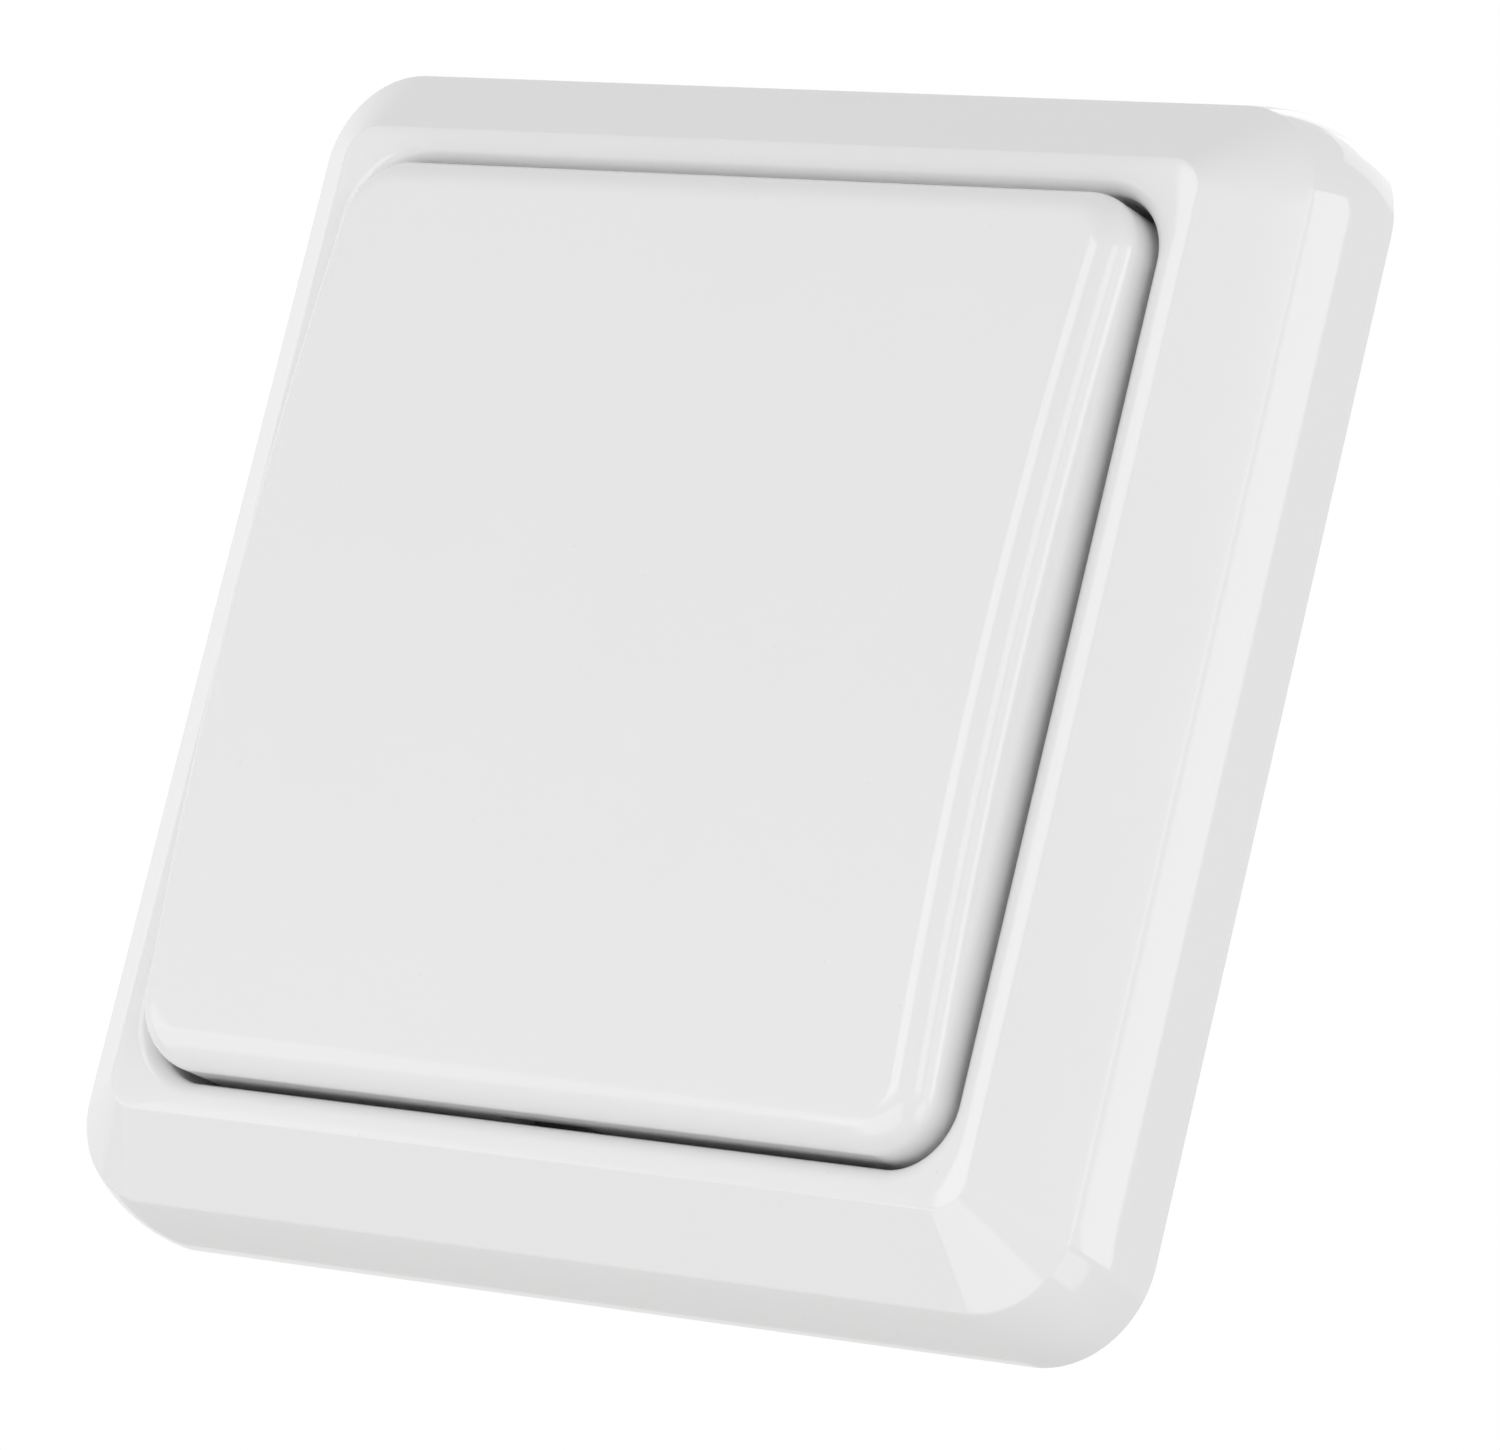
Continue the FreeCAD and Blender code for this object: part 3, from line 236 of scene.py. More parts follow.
def buildCoverFrame(size):
    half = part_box("cover_frame")[1].x
    edgeHalf = half - size["sideLean"]
    slope = size["sideLean"] / size["edgeHeight"]
    bow = size["sideBow"] / mm
    landHalf = size["openingHalf"] + size["lipRound"]
    lip = (landHalf, size["landCorner"], size["lipHeight"] - size["lipRound"])
    land = (landHalf, size["landCorner"], size["lipHeight"] - size["landRound"])
    back = size["landRound"] - size["crestRound"]               # from the land's centre to the crest's
    outwards = back * math.sin(size["landTilt"])
    crest = (land[0] + outwards, land[1] + outwards, land[2] + back * math.cos(size["landTilt"]))
    away, down = edgeHalf - crest[0], size["edgeHeight"] - crest[2]
    faceTilt = math.atan2(away, down) - math.acos(size["crestRound"] / math.hypot(away, down))

    def sideRing(level):                         # the side bulges a little between the back and the edge
        lean = slope * level - bow * level * (size["edgeHeight"] - level)
        share = lean / size["sideLean"]
        return (half - lean, size["backCorner"] + (size["edgeCorner"] - size["backCorner"]) * share, level)

    sideTilt = quarterTurn - math.atan(slope + bow * size["edgeHeight"])
    backBreak = size["backBreak"]
    rings = [(half - backBreak, size["backCorner"] - backBreak, 0), sideRing(backBreak)]
    edgeLength = size["edgeRound"] * math.tan((sideTilt - faceTilt) / 2)
    topOfSide = size["edgeHeight"] - edgeLength * math.sin(sideTilt)
    for step in range(1, size["sideSteps"]):
        rings.append(sideRing(topOfSide * step / size["sideSteps"]))
    edge = (edgeHalf, size["edgeCorner"], size["edgeHeight"])
    edgeRings = roundBetween(edge, sideTilt, faceTilt, size["edgeRound"], size["edgeSteps"])
    rings += edgeRings
    crestRings = arcRings(*crest, size["crestRound"], faceTilt, size["landTilt"], size["crestSteps"])
    crestHalf = crestRings[-1][0]
    crestRings = [(ring[0], size["crestCorner"] + ring[0] - crestHalf, ring[2]) for ring in crestRings]
    hold = size["hold"] / math.dist(edgeRings[-1][::2], crestRings[0][::2])
    rings.append(between(edgeRings[-1], crestRings[0], hold))
    rings.append(between(edgeRings[-1], crestRings[0], 1 - hold))
    rings += crestRings
    landRings = arcRings(*land, size["landRound"], size["landTilt"], 0, size["landSteps"])
    for step in range(1, len(landRings)):        # its corner opens from the crest's to the lip's
        opened = (size["landCorner"] - size["crestCorner"]) * (step / size["landSteps"])
        rings.append((landRings[step][0], size["crestCorner"] + opened, landRings[step][2]))
    rings += arcRings(*lip, size["lipRound"], 0, -quarterTurn, size["lipSteps"])[1:]
    openingHalf, openingCorner, wallTop = rings[-1]
    rings.append((openingHalf, openingCorner, wallTop - size["hold"]))
    rings.append((openingHalf, openingCorner, size["ledgeTop"]))
    rings.append((size["windowHalf"], size["windowCorner"], size["ledgeTop"]))
    rings.append((size["windowHalf"], size["windowCorner"], size["ledgeBack"]))
    skirtHalf = openingHalf + size["skirtWall"]
    skirtCorner = openingCorner + size["skirtWall"]
    rings.append((skirtHalf, skirtCorner, size["ledgeBack"]))
    inset = size["faceWall"] * math.sin(faceTilt)
    underEdge = size["edgeHeight"] - size["faceWall"] * math.cos(faceTilt)
    shoulder = (edgeHalf - inset, size["edgeCorner"] - inset, underEdge)
    ceiling = shoulder[2] + (shoulder[0] - skirtHalf) * math.tan(faceTilt)
    rings.append((skirtHalf, skirtCorner - inset, ceiling))
    rings.append(shoulder)
    rings.append((half - size["rimWall"], size["backCorner"] - size["rimWall"], 0))
    piece = sweepRings(size["name"], rings, size["segments"])
    bpy.ops.mesh.select_mode(type="EDGE")
    bpy.ops.mesh.select_all(action="DESELECT")
    bpy.ops.mesh.select_non_manifold(extend=False)       # the first and the last ring, both at the wall
    bpy.ops.mesh.bridge_edge_loops()
    bpy.ops.mesh.select_mode(type="VERT")
    closeShell(piece)
    ribs, notches = size["ribs"], size["notches"]
    for quarter in range(4):
        for place in (-ribs["place"], ribs["place"]):
            low = Vector((skirtHalf - ribs["bite"], place - ribs["thick"] / 2, size["ledgeBack"]))
            high = Vector((shoulder[0] + ribs["bite"], place + ribs["thick"] / 2, shoulder[2]))
            shapeWith(piece, blockAt(low, high, quarter), "UNION")
        reach = notches["width"] / 2
        low = Vector((notches["near"], notches["place"] - reach, size["ledgeBack"] - size["hold"]))
        high = Vector((notches["far"], notches["place"] + reach, size["ledgeTop"] + size["hold"]))
        shapeWith(piece, blockAt(low, high, quarter), "DIFFERENCE")
    smoothShell(piece, size["creaseAngle"])
    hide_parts("cover_frame")
    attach(piece, "root")
    print("cover frame:", len(piece.data.polygons), "faces from", len(rings), "rings")
    return piece


coverFrameShell = buildCoverFrame(coverFrame)

# The rocker: a hollow cap with a crowned face, a broad round along its edge and a fingernail notch.
rocker = {
    "name": "rocker_shell",
    "segments": 24,
    "corner": 4.2 * mm,
    "edgeRound": 2.2 * mm,
    "roundSteps": 20,
    "wall": 1.8 * mm,
    "crownDrop": 1.9 * mm,
    "skirtBottom": 6.6 * mm,
    "bottomBreak": 0.15 * mm,
    "strips": 36,                                # level cuts that let the face follow its crown
    "notchWidth": 7.0 * mm,
    "notchHeight": 3.8 * mm,
    "notchDepth": 1.5,                           # how far the cut reaches in, in wall thicknesses
    "nibs": {"place": 17.0 * mm, "radius": 2.5 * mm, "level": 13.0 * mm},
    "ribs": {"cross": 8.5 * mm, "along": 10.0 * mm, "run": 22.0 * mm, "thick": 1.0 * mm,
             "level": 13.4 * mm},
    "lugs": {"near": 25.6 * mm, "far": 27.6 * mm, "width": 6.4 * mm, "level": 6.9 * mm},
    "pivot": {"level": 8.0 * mm, "radius": 1.55 * mm, "length": 6.4 * mm},
    "hold": 0.12 * mm,
    "creaseAngle": math.radians(35),
}


def buildRocker(size):
    low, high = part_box("rocker_cap")
    half = high.x
    top = wallPlane - low.y
    corner = size["corner"]
    radius = size["edgeRound"]
    inner = half - size["wall"]
    innerCorner = corner - size["wall"]
    bottom = size["skirtBottom"]
    roof = top - size["wall"]
    rings = [
        (inner, innerCorner, roof),
        (inner, innerCorner, bottom),
        (half - size["bottomBreak"], corner - size["bottomBreak"], bottom),
        (half, corner, bottom + size["bottomBreak"]),
        (half, corner, top - radius - size["hold"]),
    ]
    rings += arcRings(half - radius, corner - radius, top - radius, radius, quarterTurn, 0,
                      size["roundSteps"])
    rings.append((half - radius - size["hold"], corner - radius - size["hold"], top))
    piece = sweepRings(size["name"], rings, size["segments"])
    bpy.ops.mesh.edge_face_add()                 # the face inside the last ring
    bpy.ops.mesh.select_all(action="DESELECT")
    selectOnly(piece, lambda v: abs(v.co.y - (wallPlane - roof)) < size["hold"]
               and abs(v.co.x) <= inner and abs(v.co.z) <= inner)
    bpy.ops.mesh.edge_face_add()                 # the roof inside the hollow
    strips = size["strips"]
    for step in range(1, strips):
        height = -half + 2 * half * step / strips
        bpy.ops.mesh.select_all(action="SELECT")
        bpy.ops.mesh.bisect(plane_co=(0, 0, height), plane_no=(0, 0, 1))
    mesh = bmesh.from_edit_mesh(piece.data)
    skirt = wallPlane - (bottom + top - radius) / 2
    heights = sorted({round(v.co.z / mm, 4) for v in mesh.verts if v.co.y < skirt})
    for height in heights:
        drop = size["crownDrop"] * (height * mm / half) ** 2
        selectOnly(piece, lambda v: v.co.y < skirt and round(v.co.z / mm, 4) == height)
        bpy.ops.transform.translate(value=(0, drop, 0))
    closeShell(piece)
    addInnerWork(piece, size, inner, roof)
    wall, width = size["wall"], size["notchWidth"]
    low = Vector((-width / 2, -half - wall, bottom - size["notchHeight"]))
    high = Vector((width / 2, -half + size["notchDepth"] * wall, bottom + size["notchHeight"]))
    shapeWith(piece, blockAt(low, high), "DIFFERENCE")
    smoothShell(piece, size["creaseAngle"])
    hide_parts("rocker_cap")
    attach(piece, "rocker")
    print("rocker:", len(piece.data.polygons), "faces,", len(heights), "levels moved to the crown")
    return piece


def addInnerWork(piece, size, inner, roof):      # ribs, nibs and snap bearings under the face
    ribs, nibs, lugs, pivot = size["ribs"], size["nibs"], size["lugs"], size["pivot"]
    bite = size["wall"] / 2
    thick = ribs["thick"] / 2
    for side in (-1, 1):
        rise = roof + bite - size["crownDrop"] * (ribs["cross"] / inner) ** 2
        low = Vector((-inner - bite, side * ribs["cross"] - thick, ribs["level"]))
        high = Vector((inner + bite, side * ribs["cross"] + thick, rise))
        shapeWith(piece, blockAt(low, high), "UNION")
    for side in (-1, 1):
        rise = roof + bite - size["crownDrop"] * (ribs["run"] / inner) ** 2
        low = Vector((side * ribs["along"] - thick, -ribs["run"], ribs["level"]))
        high = Vector((side * ribs["along"] + thick, ribs["run"], rise))
        shapeWith(piece, blockAt(low, high), "UNION")
    for side in (-1, 1):
        middle = Vector((0, side * nibs["place"], (nibs["level"] + roof) / 2))
        shapeWith(piece, rodAt(middle, nibs["radius"], roof - nibs["level"]), "UNION")
    for side in (-1, 1):
        left, right = sorted((side * lugs["near"], side * lugs["far"]))
        low = Vector((left, -lugs["width"] / 2, lugs["level"]))
        high = Vector((right, lugs["width"] / 2, roof + bite))
        shapeWith(piece, blockAt(low, high), "UNION")
        middle = Vector((side * lugs["near"], 0, pivot["level"]))
        shapeWith(piece, rodAt(middle, pivot["radius"], pivot["length"], sideways=True), "DIFFERENCE")


rockerShell = buildRocker(rocker)

# The return springs: each is wound afresh, in place of its CAD piece.
returnSprings = {
    "stems": {"switch_spring_upper": "stem_upper", "switch_spring_lower": "stem_lower"},
    "turns": 2,
    "wireRadius": 0.15 * mm,
    "wireSides": 12,
    "turnSteps": 32,
    "creaseAngle": math.radians(50),
}


def buildSpring(node, size):
    low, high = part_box(node)
    middle, wire = (low + high) / 2, size["wireRadius"]
    bpy.ops.object.select_all(action="DESELECT")
    bpy.ops.mesh.primitive_circle_add(vertices=size["wireSides"], radius=wire,
                                      location=(middle.x, high.y - wire, middle.z))
    piece = bpy.context.object
    piece.name = node + "_coil"
    piece.data.name = piece.name
    bpy.ops.object.mode_set(mode="EDIT")
    bpy.ops.mesh.select_all(action="SELECT")
    bpy.ops.transform.translate(value=((high.x - low.x) / 2 - wire, 0, 0))
    bpy.ops.object.mode_set(mode="OBJECT")
    winding = piece.modifiers.new("winding", "SCREW")
    winding.axis = "Y"
    winding.screw_offset = -(high.y - low.y - 2 * wire) / size["turns"]
    winding.iterations = size["turns"]
    winding.steps = size["turnSteps"]
    winding.render_steps = size["turnSteps"]
    bpy.ops.object.modifier_apply(modifier=winding.name)
    bpy.ops.object.transform_apply(location=True, rotation=True, scale=True)
    bpy.ops.object.mode_set(mode="EDIT")
    bpy.ops.mesh.select_all(action="SELECT")
    bpy.ops.mesh.fill_holes(sides=0)             # closes the wire's two cut ends
    closeShell(piece)
    smoothShell(piece, size["creaseAngle"])
    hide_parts(node)
    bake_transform(piece)
    print("spring:", piece.name, len(piece.data.polygons), "faces")
    return piece


springs = {}
for springNode, stemBody in returnSprings["stems"].items():
    springs[springNode] = buildSpring(springNode, returnSprings)


# Finishes: every colour, speck and ripple is worked out in the piece's own metres.
def newFinish(name):
    finish = bpy.data.materials.new(name)
    finish.use_nodes = True
    tree = finish.node_tree
    shader = tree.nodes["Principled BSDF"]
    place = tree.nodes.new("ShaderNodeTexCoord")
    return finish, tree, shader, place.outputs["Object"]


def noiseAt(tree, place, cell, detail, roughness=0.5):   # cell is the pattern's size in metres
    noise = tree.nodes.new("ShaderNodeTexNoise")
    noise.inputs["Scale"].default_value = 1 / cell
    noise.inputs["Detail"].default_value = detail
    noise.inputs["Roughness"].default_value = roughness
    tree.links.new(place, noise.inputs["Vector"])
    return noise.outputs["Fac"]


def rampOf(tree, factor, stops):                 # stops are (place on the ramp, colour)
    ramp = tree.nodes.new("ShaderNodeValToRGB")
    while len(ramp.color_ramp.elements) < len(stops):
        ramp.color_ramp.elements.new(0.5)
    for element, (spot, colour) in zip(ramp.color_ramp.elements, stops):
        element.position = spot
        element.color = (*colour, 1)
    tree.links.new(factor, ramp.inputs["Fac"])
    return ramp.outputs["Color"]


def spanOf(tree, factor, low, high):             # spreads a pattern's middle half over low to high
    span = tree.nodes.new("ShaderNodeMapRange")
    span.inputs["From Min"].default_value = 0.25
    span.inputs["From Max"].default_value = 0.75
    span.inputs["To Min"].default_value = low
    span.inputs["To Max"].default_value = high
    tree.links.new(factor, span.inputs["Value"])
    return span.outputs["Result"]


def bumpOf(tree, factor, depth):                 # depth in metres
    bump = tree.nodes.new("ShaderNodeBump")
    bump.inputs["Strength"].default_value = 1
    bump.inputs["Distance"].default_value = depth
    tree.links.new(factor, bump.inputs["Height"])
    return bump.outputs["Normal"]


def tinted(colour, amount):
    return tuple(channel * amount for channel in colour)


glossWhite = {
    "colour": (0.83, 0.83, 0.83),
    "cloud": 0.996,                              # how much darker the plastic's cloudy patches are
    "cloudCell": 9 * mm,
    "speckCell": 2.6 * mm,
    "speckSize": 0.035,                          # share of a cell that a speck fills
    "speckTone": 0.86,
    "roughness": (0.05, 0.08),
    "rippleCell": 7 * mm,
    "rippleDepth": 0.0016 * mm,
    "grainCell": 0.35 * mm,
    "grainDepth": 0.0002 * mm,
    "refraction": 1.5,
}


def glossyPlastic(name, look, seed):
    finish, tree, shader, place = newFinish(name)
    shift = tree.nodes.new("ShaderNodeMapping")
    shift.inputs["Location"].default_value = (seed, 0, seed)
    tree.links.new(place, shift.inputs["Vector"])
    spot = shift.outputs["Vector"]
    cloud = noiseAt(tree, spot, look["cloudCell"], 2)
    base = rampOf(tree, cloud, [(0.3, tinted(look["colour"], look["cloud"])), (0.7, look["colour"])])
    specks = tree.nodes.new("ShaderNodeTexVoronoi")
    specks.inputs["Scale"].default_value = 1 / look["speckCell"]
    tree.links.new(spot, specks.inputs["Vector"])
    white = (1, 1, 1)
    dots = rampOf(tree, specks.outputs["Distance"],
                  [(0, tinted(white, look["speckTone"])), (look["speckSize"], white)])
    mix = tree.nodes.new("ShaderNodeMix")
    mix.data_type = "RGBA"
    mix.blend_type = "MULTIPLY"
    mix.inputs["Factor"].default_value = 1
    tree.links.new(base, mix.inputs["A"])
    tree.links.new(dots, mix.inputs["B"])
    tree.links.new(mix.outputs["Result"], shader.inputs["Base Color"])
    smear = noiseAt(tree, spot, look["rippleCell"] / 2, 2, 0.6)
    tree.links.new(spanOf(tree, smear, *look["roughness"]), shader.inputs["Roughness"])
    both = tree.nodes.new("ShaderNodeMath")      # ripple plus a much shallower grain
    both.operation = "MULTIPLY_ADD"
    both.inputs[1].default_value = look["grainDepth"] / look["rippleDepth"]
    tree.links.new(noiseAt(tree, spot, look["grainCell"], 0), both.inputs[0])
    tree.links.new(noiseAt(tree, spot, look["rippleCell"], 0), both.inputs[2])
    tree.links.new(bumpOf(tree, both.outputs["Value"], look["rippleDepth"]), shader.inputs["Normal"])
    shader.inputs["IOR"].default_value = look["refraction"]
    return finish


def setFinish(piece, finish):
    piece.data.materials.clear()
    piece.data.materials.append(finish)


setFinish(coverFrameShell, glossyPlastic("frame_white_plastic", glossWhite, 0.0))
setFinish(rockerShell, glossyPlastic("rocker_white_plastic", glossWhite, 0.31))

insidePlastics = {
    "wall_plate": {"colour": (0.62, 0.62, 0.61), "roughness": (0.42, 0.58)},
    "unit_tray": {"colour": (0.70, 0.70, 0.68), "roughness": (0.38, 0.52)},
    "unit_cover": {"colour": (0.72, 0.72, 0.70), "roughness": (0.34, 0.5)},
    "switch_housing_upper": {"colour": (0.028, 0.028, 0.03), "roughness": (0.4, 0.55)},
    "switch_housing_lower": {"colour": (0.028, 0.028, 0.03), "roughness": (0.4, 0.55)},
    "switch_stem_upper": {"colour": (0.75, 0.75, 0.73), "roughness": (0.3, 0.42)},
    "switch_stem_lower": {"colour": (0.75, 0.75, 0.73), "roughness": (0.3, 0.42)},
    "radio_chip": {"colour": (0.018, 0.018, 0.02), "roughness": (0.45, 0.6)},
    "chip_resistors": {"colour": (0.03, 0.03, 0.04), "roughness": (0.2, 0.3)},
    "chip_capacitors": {"colour": (0.42, 0.30, 0.18), "roughness": (0.35, 0.5)},
}
sparkTexture = {"cloudCell": 6 * mm, "cloud": 0.93, "cell": 0.25 * mm, "depth": 0.012 * mm}


def sparkPlastic(name, look, spark):             # the fine eroded texture of plain mouldings
    finish, tree, shader, place = newFinish(name)
    cloud = noiseAt(tree, place, spark["cloudCell"], 4)
    base = rampOf(tree, cloud, [(0.3, tinted(look["colour"], spark["cloud"])), (0.7, look["colour"])])
    tree.links.new(base, shader.inputs["Base Color"])
    texture = noiseAt(tree, place, spark["cell"], 4, 0.6)
    tree.links.new(spanOf(tree, texture, *look["roughness"]), shader.inputs["Roughness"])
    tree.links.new(bumpOf(tree, texture, spark["depth"]), shader.inputs["Normal"])
    return finish


for nodeName, look in insidePlastics.items():
    setFinish(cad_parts[nodeName], sparkPlastic(nodeName + "_plastic", look, sparkTexture))

# Each metal's grain is the cell of its drawn lines in millimetres, along x, y and z.
springWire = {"colour": (0.55, 0.55, 0.56), "roughness": (0.25, 0.4), "grain": (0.2, 0.05, 0.2)}
metals = {
    "coin_cell": {"colour": (0.70, 0.70, 0.68), "roughness": (0.2, 0.34), "grain": (0.08, 2, 0.08)},
    "cell_clip": {"colour": (0.66, 0.65, 0.60), "roughness": (0.22, 0.36), "grain": (1.5, 1.5, 0.06)},
    "cell_spring": {"colour": (0.66, 0.65, 0.60), "roughness": (0.22, 0.36), "grain": (1.5, 0.5, 0.06)},
    "switch_spring_upper": springWire,
    "switch_spring_lower": springWire,
    "cover_screws": {"colour": (0.60, 0.61, 0.62), "roughness": (0.22, 0.38), "grain": (0.3, 0.08, 0.3)},
    "switch_legs": {"colour": (0.68, 0.68, 0.70), "roughness": (0.25, 0.45), "grain": (0.3, 0.3, 0.3)},
    "crystal": {"colour": (0.72, 0.70, 0.62), "roughness": (0.2, 0.32), "grain": (1.2, 0.4, 0.08)},
    "aerial_coil": {"colour": (0.72, 0.36, 0.20), "roughness": (0.24, 0.4), "grain": (0.3, 0.3, 0.1)},
}
metalGrain = {"tone": 0.86, "depth": 0.004 * mm}


def drawnMetal(name, look, grain):               # fine lines along the way it was drawn or turned
    finish, tree, shader, place = newFinish(name)
    stretch = tree.nodes.new("ShaderNodeMapping")
    stretch.inputs["Scale"].default_value = tuple(1 / (cell * mm) for cell in look["grain"])
    tree.links.new(place, stretch.inputs["Vector"])
    lines = noiseAt(tree, stretch.outputs["Vector"], 1, 4)
    base = rampOf(tree, lines, [(0.25, tinted(look["colour"], grain["tone"])), (0.75, look["colour"])])
    tree.links.new(base, shader.inputs["Base Color"])
    tree.links.new(spanOf(tree, lines, *look["roughness"]), shader.inputs["Roughness"])
    tree.links.new(bumpOf(tree, lines, grain["depth"]), shader.inputs["Normal"])
    shader.inputs["Metallic"].default_value = 1
    return finish


for nodeName, look in metals.items():
    shownPiece = springs.get(nodeName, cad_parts[nodeName])
    setFinish(shownPiece, drawnMetal(nodeName + "_metal", look, metalGrain))

boardLook = {
    "mask": (0.02, 0.17, 0.07),
    "track": (0.05, 0.28, 0.12),
    "trackPitch": 1.3 * mm,
    "trackGap": 0.12,                            # share of the pitch
    "trackBlur": 0.2,
    "trackRise": 0.03 * mm,
    "cloudCell": 3 * mm,
    "roughness": (0.25, 0.4),
}


def solderMask(look):                            # green lacquer, lighter and raised over the tracks
    finish, tree, shader, place = newFinish("board_green_laminate")
    brick = tree.nodes.new("ShaderNodeTexBrick")
    turn = tree.nodes.new("ShaderNodeMapping")
    turn.inputs["Rotation"].default_value = (quarterTurn, 0, 0)
    tree.links.new(place, turn.inputs["Vector"])
    tree.links.new(turn.outputs["Vector"], brick.inputs["Vector"])
    brick.inputs["Scale"].default_value = 1 / look["trackPitch"]
    brick.inputs["Mortar Size"].default_value = look["trackGap"]
    brick.inputs["Mortar Smooth"].default_value = look["trackBlur"]
    brick.inputs["Brick Width"].default_value = 4.0
    brick.inputs["Row Height"].default_value = 1.0
    cloud = noiseAt(tree, place, look["cloudCell"], 3)
    base = rampOf(tree, brick.outputs["Fac"], [(0, look["mask"]), (1, look["track"])])
    tree.links.new(base, shader.inputs["Base Color"])
    tree.links.new(spanOf(tree, cloud, *look["roughness"]), shader.inputs["Roughness"])
    tree.links.new(bumpOf(tree, brick.outputs["Fac"], look["trackRise"]), shader.inputs["Normal"])
    return finish


setFinish(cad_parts["circuit_board"], solderMask(boardLook))
print("finishes set on", len(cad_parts), "pieces")

# The studio: a pale floor below the switch and a white surround.
studio = {
    "floorDrop": 1.8,
    "floorSize": 12.0,
    "floorColour": (0.72, 0.72, 0.715),
    "floorGrain": 0.4,                           # cell of its faint clouds
    "floorRoughness": 0.7,
    "floorGlow": (0.93, 0.93, 0.925),            # what the eye and reflections see, but for its shadow
    "glowShare": 0.7,
    "skyStrength": 0.53,
}


def seenRay(tree):                               # 1 for what the eye, a reflection or clear plastic sees
    path = tree.nodes.new("ShaderNodeLightPath")
    seen = path.outputs["Is Camera Ray"]
    for ray in ("Is Glossy Ray", "Is Transmission Ray"):
        either = tree.nodes.new("ShaderNodeMath")
        either.operation = "MAXIMUM"
        tree.links.new(seen, either.inputs[0])
        tree.links.new(path.outputs[ray], either.inputs[1])
        seen = either.outputs["Value"]
    return seen


def buildFloor(look):
    bpy.ops.object.select_all(action="DESELECT")
    bpy.ops.mesh.primitive_plane_add(size=look["floorSize"], location=(0, 0, -look["floorDrop"]))
    floor = bpy.context.object
    floor.name = "floor"
    finish, tree, shader, place = newFinish("pale_floor")
    paper = noiseAt(tree, place, look["floorGrain"], 3)
    colour = look["floorColour"]
    base = rampOf(tree, paper, [(0.3, tinted(colour, 0.99)), (0.7, colour)])
    tree.links.new(base, shader.inputs["Base Color"])
    shader.inputs["Roughness"].default_value = look["floorRoughness"]
    glow = tree.nodes.new("ShaderNodeEmission")
    glow.inputs["Color"].default_value = (*look["floorGlow"], 1)
    share = tree.nodes.new("ShaderNodeMath")
    share.operation = "MULTIPLY"
    share.inputs[1].default_value = look["glowShare"]
    tree.links.new(seenRay(tree), share.inputs[0])
    mix = tree.nodes.new("ShaderNodeMixShader")
    tree.links.new(share.outputs["Value"], mix.inputs["Fac"])
    tree.links.new(shader.outputs["BSDF"], mix.inputs[1])
    tree.links.new(glow.outputs["Emission"], mix.inputs[2])
    tree.links.new(mix.outputs["Shader"], tree.nodes["Material Output"].inputs["Surface"])
    setFinish(floor, finish)


def buildSky(look):                              # white to the eye and in reflections, softer as light
    world = bpy.data.worlds.new("studio")
    bpy.context.scene.world = world
    world.use_nodes = True
    tree = world.node_tree
    light = tree.nodes["Background"]
    light.inputs["Color"].default_value = (1, 1, 1, 1)
    light.inputs["Strength"].default_value = look["skyStrength"]
    white = tree.nodes.new("ShaderNodeBackground")
    white.inputs["Color"].default_value = (1, 1, 1, 1)
    white.inputs["Strength"].default_value = 1
    mix = tree.nodes.new("ShaderNodeMixShader")
    tree.links.new(seenRay(tree), mix.inputs["Fac"])
    tree.links.new(light.outputs["Background"], mix.inputs[1])
    tree.links.new(white.outputs["Background"], mix.inputs[2])
    tree.links.new(mix.outputs["Shader"], tree.nodes["World Output"].inputs["Surface"])


buildFloor(studio)
buildSky(studio)

# Soft boxes, each given by where it stands as seen from the switch, in degrees:
# round to the right of straight ahead, up from level, and how wide and tall it looks.
softBoxes = {
    "frontLow": {"round": -5, "up": -48, "wide": 60, "tall": 44, "radiance": 1.03},
    "leftLow": {"round": -58, "up": -22, "wide": 40, "tall": 36, "radiance": 0.8},
    "leftBack": {"round": -165, "up": 35, "wide": 30, "tall": 30, "radiance": 0.8},
    "rightBack": {"round": 170, "up": 40, "wide": 30, "tall": 30, "radiance": 0.8},
    "rightLow": {"round": 95, "up": -28, "wide": 30, "tall": 26, "radiance": 1.3},
    "stripNear": {"round": -15, "up": 10, "wide": 28, "tall": 40, "radiance": 1.9},
    "stripRight": {"round": 60.7, "up": 10, "wide": 20, "tall": 40, "radiance": 1.5},
    "stripSide": {"round": 91, "up": 10, "wide": 26, "tall": 40, "radiance": 0.7},
    "stripFar": {"round": 112, "up": 10, "wide": 16, "tall": 40, "radiance": 2.05},
}
boxDistance = 1.6


def directionOf(roundAngle, upAngle):
    sideways, upwards = math.radians(roundAngle), math.radians(upAngle)
    level = math.cos(upwards)
    return Vector((math.sin(sideways) * level, -math.cos(sideways) * level, math.sin(upwards)))


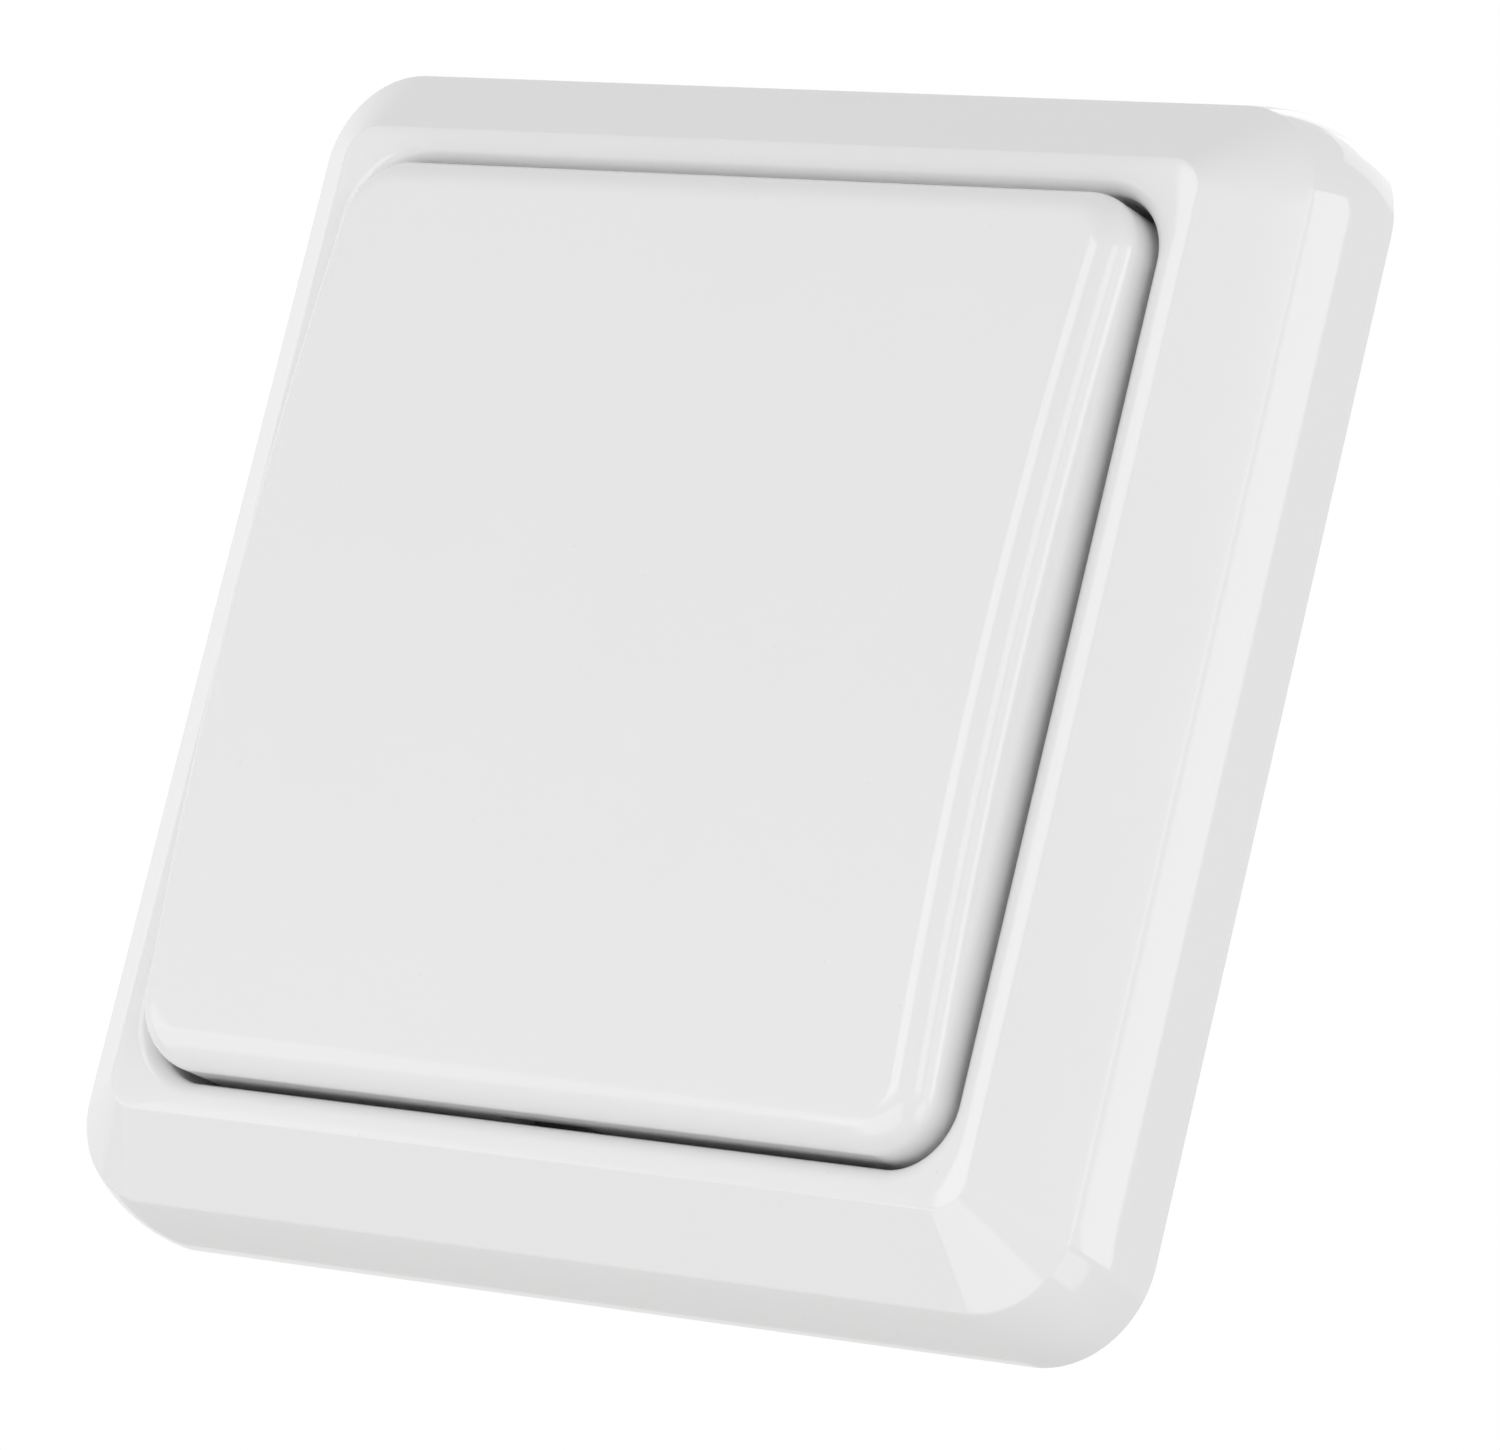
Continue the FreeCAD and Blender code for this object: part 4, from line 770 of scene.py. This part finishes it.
def buildSoftBoxes(boxes, distance):
    for name, box in boxes.items():
        lamp = bpy.data.lights.new(name, "AREA")
        lamp.shape = "RECTANGLE"
        lamp.size = 2 * distance * math.tan(math.radians(box["wide"] / 2))
        lamp.size_y = 2 * distance * math.tan(math.radians(box["tall"] / 2))
        lamp.energy = box["radiance"] * math.pi * lamp.size * lamp.size_y
        holder = bpy.data.objects.new(name, lamp)
        holder.visible_camera = False
        bpy.context.scene.collection.objects.link(holder)
        towards = directionOf(box["round"], box["up"])
        holder.location = towards * distance
        holder.rotation_euler = (-towards).to_track_quat("-Z", "Y").to_euler()
    print("soft boxes placed:", len(boxes))


buildSoftBoxes(softBoxes, boxDistance)

# The camera stands low and to the right and is rolled, as in the photograph.
cameraSpot = {
    "round": 36.789,
    "up": -11.451,
    "roll": 13.54,
    "distance": 0.555235,
    "aimRight": 0.171 * mm,
    "aimUp": -1.558 * mm,
    "focalPixels": 8720.454,
    "pictureWidth": 1500,
    "sensor": 36.0,
    "nearest": 0.01,
    "farthest": 50,
}


def placeCamera(spot):
    back = directionOf(spot["round"], spot["up"])
    turned, roll = math.radians(spot["round"]), math.radians(spot["roll"])
    level = Vector((math.cos(turned), math.sin(turned), 0))
    upright = back.cross(level)
    right = level * math.cos(roll) + upright * math.sin(roll)
    up = upright * math.cos(roll) - level * math.sin(roll)
    lens = bpy.data.cameras.new("camera")
    lens.sensor_width = spot["sensor"]
    lens.lens = spot["focalPixels"] / spot["pictureWidth"] * spot["sensor"]
    lens.clip_start = spot["nearest"]
    lens.clip_end = spot["farthest"]
    camera = bpy.data.objects.new("camera", lens)
    bpy.context.scene.collection.objects.link(camera)
    facing = Matrix((right, up, back)).transposed().to_4x4()
    stand = spot["distance"] * back + spot["aimRight"] * right + spot["aimUp"] * up
    camera.matrix_world = Matrix.Translation(stand) @ facing
    bpy.context.scene.camera = camera


placeCamera(cameraSpot)
bpy.context.scene.view_settings.view_transform = "Standard"

bpy.context.view_layer.update()
print("ready to render")
